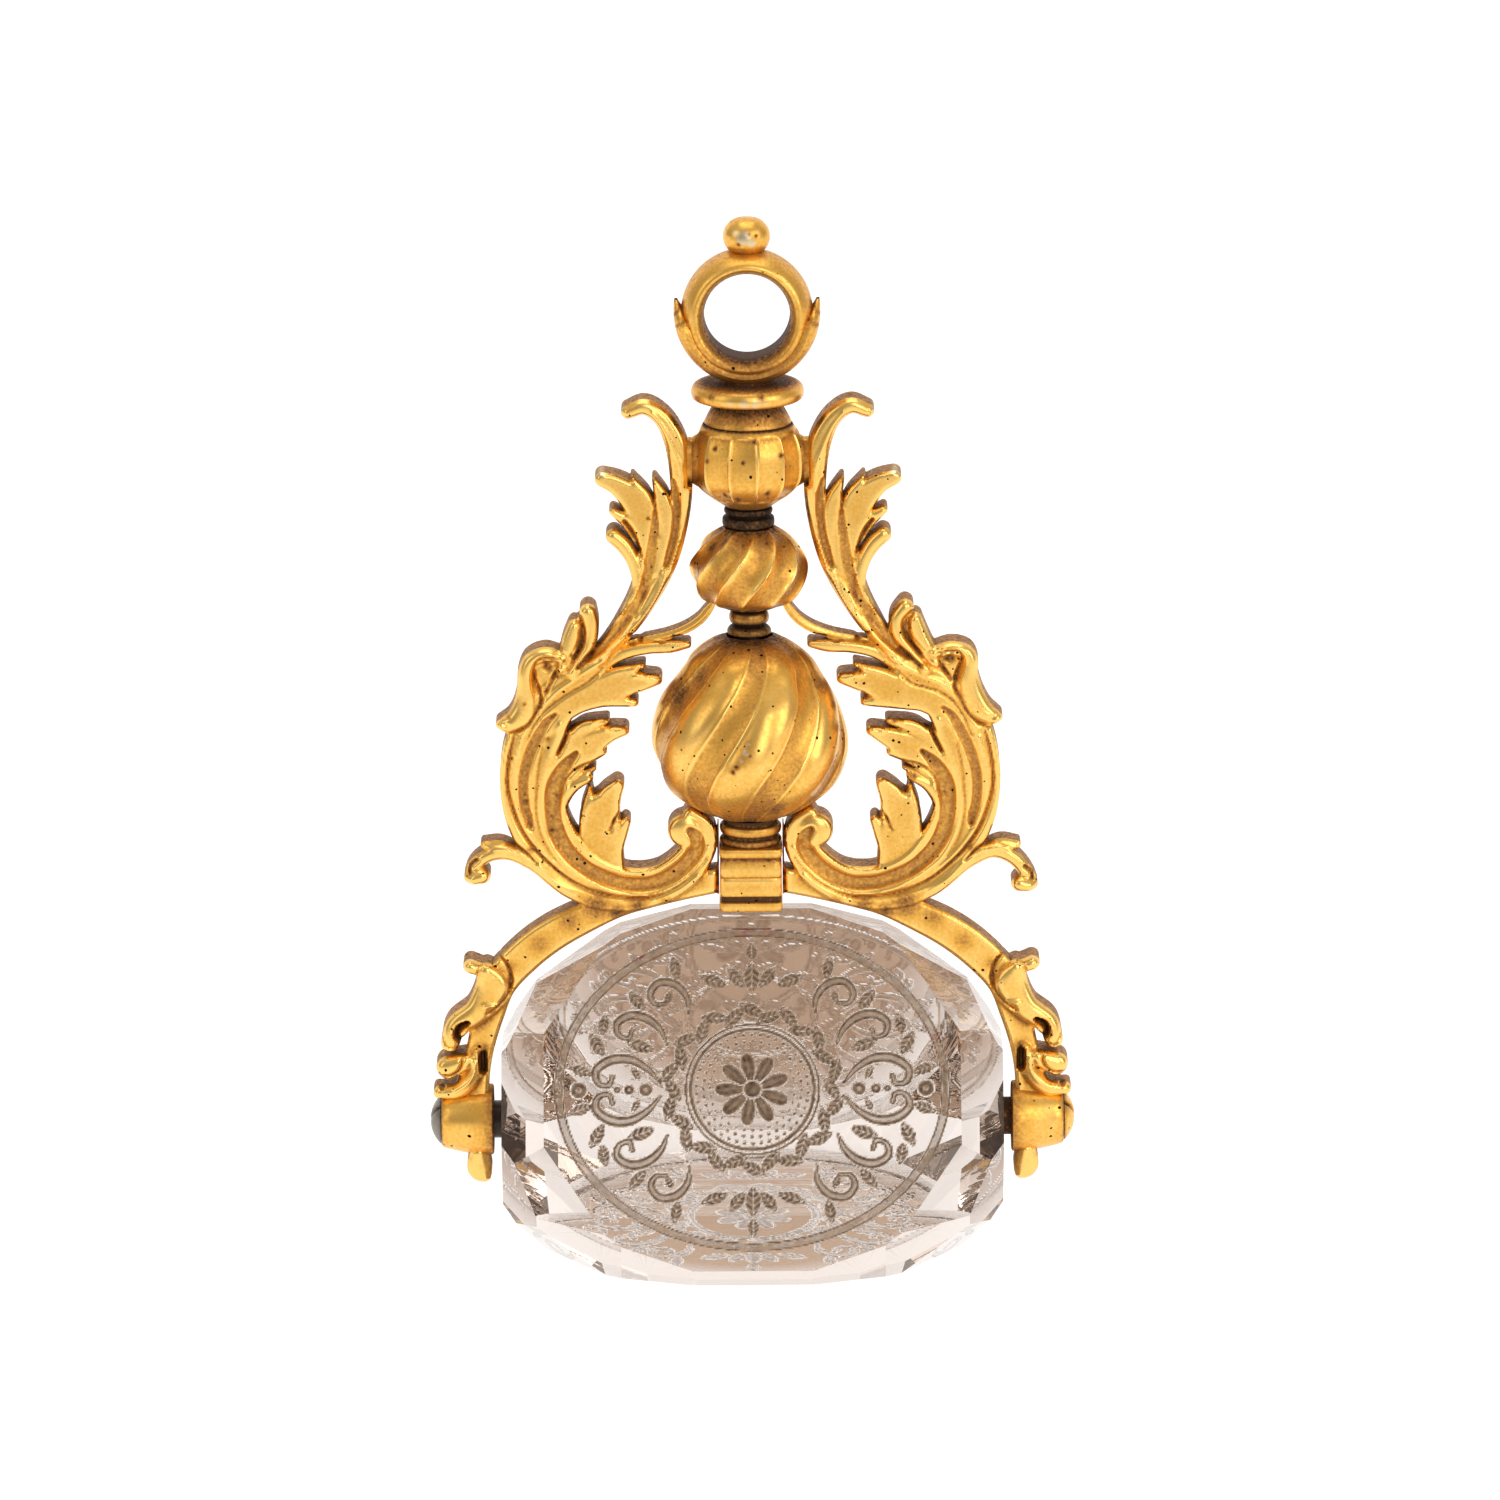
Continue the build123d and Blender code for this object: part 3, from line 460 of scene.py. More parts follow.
@dataclass(frozen=True)
class CrystalFinish:
    """Polished rock crystal, ground matt where it is engraved and stained there.

    Args:
        name: Material name.
        body: Colour of the polished surface.
        smoke: Colour of the light that comes through the crystal.
        smoke_per_mm: How fast the crystal takes the rest, for each millimetre.
        ground: Lightest colour of the engraved ground.
        stain: Darkest colour of the residue in it.
        tones: Amounts of residue that show as these two.
        fill: What the depth of a cut adds to the residue, and what is taken off.
        grain: Repeats for each millimetre, detail and roughness of the residue's grain.
        wax: Colour of the traces of sealing wax.
        cover: How much of the light a full cut stops.
        matt: Roughness of the cuts, and the share of light that they let through.
        refraction: Index of refraction of quartz.
    """

    name: str = "rock_crystal_polished"
    body: str = "FFFFFF"
    smoke: str = "CDAE92"
    smoke_per_mm: float = 0.024
    ground: str = "BFA88F"
    stain: str = "553A2A"
    tones: Pair = (0.1, 0.75)
    fill: Pair = (0.55, 0.5)
    grain: Triple = (2.6, 5.0, 0.65)
    wax: str = "8C3A2E"
    cover: float = 1.3
    matt: Pair = (0.6, 0.35)
    refraction: float = 1.544

    def build(self) -> Material:
        """Make the material.

        Returns:
            The node material.
        """
        material, node = new_material(self.name)
        frost, wax = (
            node("ShaderNodeAttribute", attribute_name=name).outputs["Fac"] for name in ("frost", "wax")
        )
        place = node("ShaderNodeTexCoord").outputs["Object"]
        per_mm, detail, uneven = self.grain
        grain = node("ShaderNodeTexNoise",
                     {"Vector": place, "Scale": per_mm / METRES, "Detail": detail, "Roughness": uneven})
        clear = node("ShaderNodeBsdfPrincipled", {
            "Base Color": linear(self.body), "Roughness": 0.0, "IOR": self.refraction,
            "Transmission Weight": 1.0,
        })
        gain, start = self.fill
        filled = node("ShaderNodeMath", {0: frost, 1: gain, 2: grain}, operation="MULTIPLY_ADD")
        residue = node("ShaderNodeMath", {0: filled, 1: start}, operation="SUBTRACT", use_clamp=True)
        tone = node("ShaderNodeValToRGB", {0: residue})
        set_stops(tone, zip(self.tones, (self.ground, self.stain)))
        inputs = {"Factor": wax, "A": tone, "B": linear(self.wax)}
        tinted = node("ShaderNodeMix", inputs, data_type="RGBA").outputs["Result"]
        roughness, share = self.matt
        lit = node("ShaderNodeBsdfDiffuse", {"Color": tinted, "Roughness": roughness})
        through = node("ShaderNodeBsdfTranslucent", {"Color": tinted})
        matt = node("ShaderNodeMixShader", {0: share, 1: lit, 2: through})
        cover = node("ShaderNodeMath", {0: frost, 1: self.cover}, operation="MULTIPLY", use_clamp=True)
        both = node("ShaderNodeMixShader", {0: cover, 1: clear, 2: matt})
        smoke = node("ShaderNodeVolumeAbsorption",
                     {"Color": linear(self.smoke), "Density": self.smoke_per_mm / METRES})
        node("ShaderNodeOutputMaterial", {"Surface": both, "Volume": smoke})
        return material


@dataclass(frozen=True)
class FloorFinish:
    """White paper lit through as on a light table, with a painted shadow beneath the stone, and dimmer
    toward the viewer.

    Args:
        name: Material name.
        paper: Colour of the paper.
        roughness: Roughness of the paper.
        glow: Colour of the light that comes through it.
        painted_shadow: Colour of the painted shadow beneath the stone, the glow that is left there.
        painted_shadow_size: Half length and half width of the painted shadow beneath the stone, in
            millimetres.
        painted_shadow_edge: Where its edge starts and ends, as squares of shares of that size.
        strength: Strength of the light round the stone.
        front: Where the light begins to fade in front and where it has faded, along Y in millimetres.
        front_rest: Share of the light that is left there.
    """

    name: str = "paper_white"
    paper: str = "8F8D8C"
    roughness: float = 0.8
    glow: str = "FFFFFF"
    painted_shadow: str = "BFA289"
    painted_shadow_size: Pair = (11.5, 10.5)
    painted_shadow_edge: Pair = (1.25, 0.6)
    strength: float = 0.93
    front: Pair = (-60.0, -380.0)
    front_rest: float = 0.25

    def build(self) -> Material:
        """Make the material.

        Returns:
            The node material.
        """
        material, node = new_material(self.name)
        place = node("ShaderNodeNewGeometry").outputs["Position"]
        parts = node("ShaderNodeSeparateXYZ", {0: place})
        x, y = (
            node("ShaderNodeMath", {0: parts.outputs[name], 1: size * METRES}, operation="DIVIDE")
            for name, size in zip("XY", self.painted_shadow_size)
        )
        across = node("ShaderNodeMath", {0: x, 1: x}, operation="MULTIPLY")
        square = node("ShaderNodeMath", {0: y, 1: y, 2: across}, operation="MULTIPLY_ADD")
        outside, inside = self.painted_shadow_edge
        # Painted shadow: the floor's glow is dimmed in an oval beneath the stone.
        painted_shadow = node("ShaderNodeMapRange", {"Value": square, "From Min": outside, "From Max": inside})
        start, end = self.front
        front = node("ShaderNodeMapRange", {
            "Value": parts.outputs["Y"], "From Min": start * METRES, "From Max": end * METRES,
            "To Min": self.strength, "To Max": self.strength * self.front_rest,
        })
        inputs = {"Factor": painted_shadow, "A": linear(self.glow), "B": linear(self.painted_shadow)}
        glow = node("ShaderNodeMix", inputs, data_type="RGBA").outputs["Result"]
        shader = node("ShaderNodeBsdfPrincipled", {
            "Base Color": linear(self.paper), "Roughness": self.roughness, "Specular IOR Level": 0.0,
            "Emission Color": glow, "Emission Strength": front,
        })
        node("ShaderNodeOutputMaterial", {"Surface": shader})
        return material


@dataclass
class Shape:
    """A mesh being put together, in millimetres.

    Args:
        points: Arrays of vertices.
        faces: Faces, as vertex numbers.
        values: Arrays of vertex values, by attribute name.
        count: Vertices so far.
    """

    points: list[np.ndarray] = field(default_factory=list)
    faces: list[list[int]] = field(default_factory=list)
    values: dict[str, list[np.ndarray]] = field(default_factory=dict)
    count: int = 0

    def add(self, points: np.ndarray, faces: Iterable[Sequence[int]], **values: np.ndarray) -> None:
        """Add vertices and the faces between them.

        Args:
            points: Vertices, one to a row.
            faces: Vertex numbers of each face, from 0 in these points.
            values: Vertex values, by attribute name.
        """
        start = self.count
        self.points.append(np.asarray(points, float))
        self.faces.extend([[start + i for i in face] for face in faces])
        for name in set(self.values) | set(values):
            column = self.values.setdefault(name, [np.zeros(start)] if start else [])
            given = values.get(name)
            column.append(np.zeros(len(points)) if given is None else np.asarray(given, float))
        self.count += len(points)

    def build(self, name: str, material: Material, sharp: float = 38.0) -> Object:
        """Make the object.

        Args:
            name: The object's name.
            material: Its material.
            sharp: Edges over this many degrees stay sharp, and 0 keeps all of them so.

        Returns:
            The object.
        """
        mesh = bpy.data.meshes.new(name)
        mesh.from_pydata((np.concatenate(self.points) * METRES).tolist(), [], self.faces)
        for key, columns in self.values.items():
            mesh.attributes.new(key, "FLOAT", "POINT").data.foreach_set(
                "value", np.concatenate(columns).astype(np.float32)
            )
        mesh.materials.append(material)
        mesh.validate()
        if sharp:
            mesh.shade_smooth()
            mesh.set_sharp_from_angle(angle=math.radians(sharp))
        thing = bpy.data.objects.new(name, mesh)
        bpy.context.scene.collection.objects.link(thing)
        return thing


def mount_piece(thing: Object, body: str, slot: str, *nodes: str) -> None:
    """Let a piece ride on its body and stand for its solids.

    Args:
        thing: The piece.
        body: The body that carries it.
        slot: The record's material slot, which is not used.
        nodes: The solids that it replaces.
    """
    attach(thing, body)
    if nodes:
        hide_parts(*nodes)
    log.info("%s: %d faces", thing.name, len(thing.data.polygons))


def full_turn(count: int) -> np.ndarray:
    """Spread a number of angles over a turn, in radians from zero."""
    return np.linspace(0, 2 * np.pi, count + 1)[:-1]


def ring_faces(rows: int, count: int, turned: bool = False) -> list[list[int]]:
    """List the faces between closed rows of vertices.

    Args:
        rows: Number of rows.
        count: Vertices in each row.
        turned: Whether the faces look inwards for rows that rise and run anticlockwise.

    Returns:
        The faces.
    """
    faces = [
        [k * count + i, k * count + (i + 1) % count, (k + 1) * count + (i + 1) % count, (k + 1) * count + i]
        for k in range(rows - 1)
        for i in range(count)
    ]
    return [face[::-1] for face in faces] if turned else faces


def add_rings(
    shape: Shape, side: int, height: float, count: int, loops: Sequence[Quad]
) -> None:
    """Add a skin over rings about a level axis along X.

    Args:
        shape: The mesh.
        side: -1 on the left and 1 on the right.
        height: Height of the axis.
        count: Vertices in each ring.
        loops: Distance of each ring from the stem, its radii along Y and Z, and its tarnish.
    """
    angles = full_turn(count)
    points = [
        (side * x, deep * math.sin(a), height + high * math.cos(a))
        for x, deep, high, _ in loops for a in angles
    ]
    outward = loops[-1][0] > loops[0][0]
    faces = ring_faces(len(loops), count, turned=(side > 0) == outward)
    shape.add(np.array(points), faces, tarnish=np.repeat([loop[3] for loop in loops], count))


@dataclass
class Cells:
    """The part of a grid that lies inside a mask, with its rim cut clean.

    Args:
        places: Grid place of each vertex, as fractions of steps.
        faces: Faces, turned the way from the first direction to the second.
        rim: Pairs of vertices along the cut, in the faces' direction.
    """

    places: np.ndarray
    faces: list[list[int]]
    rim: list[tuple[int, int]]

    @classmethod
    def cut(cls, mask: np.ndarray) -> "Cells":
        """Cut a grid along the line where the mask is zero.

        Args:
            mask: Values at the grid's corners, positive inside.

        Returns:
            The cells inside.
        """
        across, up = mask.shape
        inside = mask > 0
        code = (
            inside[:-1, :-1] * 1 + inside[1:, :-1] * 2 + inside[1:, 1:] * 4 + inside[:-1, 1:] * 8
        )
        numbers: dict[tuple[int, int, int], int] = {}
        places: list[Pair] = []
        faces: list[list[int]] = []
        rim: list[tuple[int, int]] = []

        def corner(i: int, j: int) -> int:
            """Number the vertex at a grid corner."""
            key = (0, i, j)
            if key not in numbers:
                numbers[key] = len(places)
                places.append((i, j))
            return numbers[key]

        def crossing(kind: int, i: int, j: int) -> int:
            """Number the vertex where the mask is zero on a grid line, of kind 1 along and 2 up."""
            key = (kind, i, j)
            if key not in numbers:
                di, dj = (1, 0) if kind == 1 else (0, 1)
                a, b = mask[i, j], mask[i + di, j + dj]
                share = a / (a - b)
                numbers[key] = len(places)
                places.append((i + di * share, j + dj * share))
            return numbers[key]

        for i, j in zip(*np.nonzero(code)):
            i, j = int(i), int(j)
            corners = ((i, j), (i + 1, j), (i + 1, j + 1), (i, j + 1))
            sides = ((1, i, j), (2, i + 1, j), (1, i, j + 1), (2, i, j))
            face: list[int] = []
            cuts: list[int] = []
            for k in range(4):
                if inside[corners[k]]:
                    face.append(corner(*corners[k]))
                if inside[corners[k]] != inside[corners[(k + 1) % 4]]:
                    number = crossing(*sides[k])
                    if inside[corners[k]]:
                        cuts.append(number)
                    else:
                        cuts.append(-number - 1)
                    face.append(number)
            faces.append(face)
            if cuts:
                if cuts[0] < 0:
                    cuts = cuts[1:] + cuts[:1]
                for k in range(0, len(cuts), 2):
                    rim.append((cuts[k], -cuts[k + 1] - 1))
        log.info("cut %d cells of %d by %d", len(faces), across, up)
        return cls(np.array(places), faces, rim)

    def sample(self, values: np.ndarray) -> np.ndarray:
        """Read a grid's field at the vertices.

        Args:
            values: The field at the grid's corners.

        Returns:
            One value for each vertex.
        """
        low = np.floor(self.places + 1e-9).astype(int)
        part = self.places - low
        high = np.minimum(low + (part > 1e-9), np.array(values.shape) - 1)
        a = values[low[:, 0], low[:, 1]]
        b = values[high[:, 0], high[:, 1]]
        share = part.max(axis=1)
        return a * (1 - share) + b * share


class Form(Enum):
    """How a stroke's face is shaped between its middle and its edges."""

    FLAT = "flat"
    DOME = "dome"

    def height(self, off: np.ndarray) -> np.ndarray:
        """Give the face's height over the stroke's level.

        Args:
            off: Distance from the middle line, as a share of the half width.

        Returns:
            Heights from 0 to 1.
        """
        if self is Form.DOME:
            return np.sqrt(1 - np.clip(off, 0, 1) ** 2)
        return np.zeros_like(off)


# Outline strokes of the left arm, lowest first: form, half thickness in mm, height of the form in mm,
# and a line of (across, down, half width) in the photograph's pixels, at the arm's middle plane
OUTLINE: dict[str, tuple[Form, float, float, Stroke]] = {
    "band": (Form.FLAT, 1.0, 0, (
        (718, 877, 12.5), (690, 883, 12), (655, 891, 12), (620, 900, 13), (585, 914, 15.5),
        (554, 930, 17), (527, 950, 17.5), (501, 978, 17), (490, 1008, 15.5), (482, 1040, 13.5),
        (477, 1065, 14), (470, 1093, 19),
    )),
    # This strip fills the gap beside the block; the stains at 720.5 across paint the gap's shadow on it.
    "gap_shadow_strip": (Form.FLAT, 0.62, 0, ((720.8, 822, 2.4), (720.8, 889, 2.4))),
    "tendril": (Form.DOME, 0.5, 0.22, (
        (615, 645, 4), (643, 637, 3.5), (668, 632, 4), (687, 625, 4.5), (700, 616, 4.5),
        (708, 606, 4), (713, 599, 2.5),
    )),
    "tendril_leaf": (Form.FLAT, 1.05, 0, (
        (595, 666, 6), (622, 650, 6), (648, 644, 6), (670, 643, 6), (687, 641, 3.5),
    )),
    "foot_leaf": (Form.FLAT, 0.95, 0, ((522, 850, 6), (502, 841, 6), (486, 840, 4))),
    "foot": (Form.DOME, 0.98, 0.2, (
        (590, 894, 7), (560, 877, 7.5), (535, 858, 8), (510, 847, 8), (490, 850, 7),
        (477, 860, 7), (473, 871, 7),
    )),
    "foot_ball": (Form.DOME, 1.0, 0.5, ((476, 872, 7), (484, 870, 8.5))),
    "cheek": (Form.FLAT, 1.02, 0, ((547, 668, 14), (547, 692, 14))),
    "bud_ground": (Form.FLAT, 0.95, 0, ((574, 656, 9), (580, 640, 8), (582, 626, 7), (581, 616, 5))),
    "leaf_stem": (Form.FLAT, 1.2, 0, (
        (572, 684, 14), (600, 652, 9), (624, 618, 9), (641, 585, 11), (650, 545, 12),
    )),
    "hook": (Form.DOME, 0.9, 0.36, (
        (598, 656, 7), (625, 627, 8), (648, 596, 8), (667, 560, 8), (677, 520, 9),
        (679, 480, 11), (673, 440, 11), (659, 414, 9), (641, 403, 8), (625, 408, 7),
    )),
    "side_curl": (Form.DOME, 0.98, 0.3, (
        (632, 608, 6), (637, 580, 6), (632, 557, 7), (622, 541, 8), (612, 532, 8),
    )),
    "top_leaf_outer": (Form.FLAT, 1.16, 0, ((648, 545, 9), (630, 521, 8), (611, 507, 4))),
    "top_leaf_inner": (Form.FLAT, 1.24, 0, (
        (660, 565, 8), (662, 520, 9), (660, 496, 8), (652, 475, 2.5),
    )),
    "top_leaf_middle": (Form.FLAT, 1.2, 0, (
        (652, 560, 11), (648, 520, 12), (641, 495, 9), (630, 473, 2),
    )),
    "top_leaf": (Form.FLAT, 1.2, 0, (
        (652, 560, 10), (647, 525, 14), (632, 496, 14), (615, 481, 10), (600, 475, 7.5),
    )),
    "scroll": (Form.FLAT, 1.2, 0, (
        (585, 668, 16), (552, 705, 22), (534, 750, 26), (536, 790, 28), (552, 832, 26),
        (583, 863, 22), (625, 878, 17), (663, 873, 14), (690, 850, 12), (697, 833, 9),
    )),
    "last_fan_upper": (Form.FLAT, 1.1, 0, ((560, 784, 8), (578, 773, 5), (595, 764, 2))),
    "last_fan": (Form.DOME, 1.08, 0.2, (
        (560, 815, 7), (563, 797, 7), (573, 782, 6.5), (590, 773, 4),
    )),
    "low_fan_lower": (Form.FLAT, 1.15, 0, ((560, 770, 10), (583, 755, 8), (604, 747, 3.5))),
    "low_fan_upper": (Form.FLAT, 1.2, 0, ((560, 740, 8), (584, 723, 7), (607, 716, 3))),
    "low_fan": (Form.FLAT, 1.2, 0, (
        (553, 775, 14), (574, 752, 16), (592, 738, 13), (610, 729, 8.5), (624, 726, 5.5),
    )),
    "high_fan_lower": (Form.FLAT, 1.2, 0, ((570, 703, 8), (600, 695, 8), (634, 698, 4.5))),
    "high_fan_upper": (Form.FLAT, 1.24, 0, ((590, 684, 8), (615, 671, 8), (643, 661, 2.5))),
    "high_fan": (Form.FLAT, 1.24, 0, (
        (545, 718, 12), (575, 696, 14), (605, 684, 15), (635, 678, 11), (656, 675, 6),
    )),
    "cup_leaf_outer": (Form.FLAT, 1.2, 0, ((596, 825, 14), (590, 805, 8), (591, 783, 2.5))),
    "cup_leaf_inner": (Form.FLAT, 1.2, 0, (
        (614, 862, 12), (616, 844, 9), (622, 828, 7), (627, 817, 5),
    )),
    "cup_leaf": (Form.FLAT, 1.24, 0, (
        (612, 872, 16), (602, 842, 18), (601, 815, 20), (610, 793, 12), (618, 781, 7),
    )),
    "scroll_rim": (Form.FLAT, 1.2, 0, (
        (527, 700, 7), (511, 740, 7), (508, 780, 7), (516, 820, 7), (541, 860, 8),
        (577, 888, 8), (622, 898, 8), (665, 890, 8), (695, 870, 8), (710, 842, 8),
        (707, 822, 8), (692, 811, 8),
    )),
    "volute": (Form.DOME, 1.12, 0.3, ((694, 838, 9), (686, 826, 17))),
    "outer_bud": (Form.DOME, 1.0, 0.36, ((561, 662, 7), (567, 648, 8.5), (571, 634, 9), (574, 621, 7))),
    "inner_bud": (Form.DOME, 1.05, 0.4, (
        (571, 668, 5), (582, 652, 6), (589, 637, 7), (590, 620, 8), (587, 607, 8.5),
    )),
    "hood": (Form.DOME, 0.95, 0.5, (
        (561, 653, 6.5), (545, 649, 7.5), (531, 655, 8), (525.5, 668, 8), (525.5, 682, 8.5),
        (526, 694, 11), (523, 706, 12), (515, 716, 11), (506, 719, 8),
    )),
    "hood_ball": (Form.DOME, 1.0, 0.4, ((501, 719, 5), (504, 721, 5))),
    "head_crest": (Form.DOME, 1.1, 0.45, ((493, 976, 8), (484, 965, 7), (472, 960, 7.5))),
    "head": (Form.DOME, 1.1, 0.4, (
        (488, 965, 9), (493, 983, 17), (479, 1004, 13), (458, 1020, 11.5), (451, 1037, 9),
    )),
    "lower_lobe": (Form.DOME, 1.05, 0.3, (
        (480, 1045, 6), (474, 1070, 8), (456, 1085, 8), (441, 1086, 7),
    )),
    "head_lobe": (Form.DOME, 1.1, 0.4, ((465, 1055, 9), (449, 1061, 12))),
    "drop": (Form.DOME, 0.9, 0.4, ((479, 1147, 9), (480, 1163, 12), (485, 1170, 6))),
}

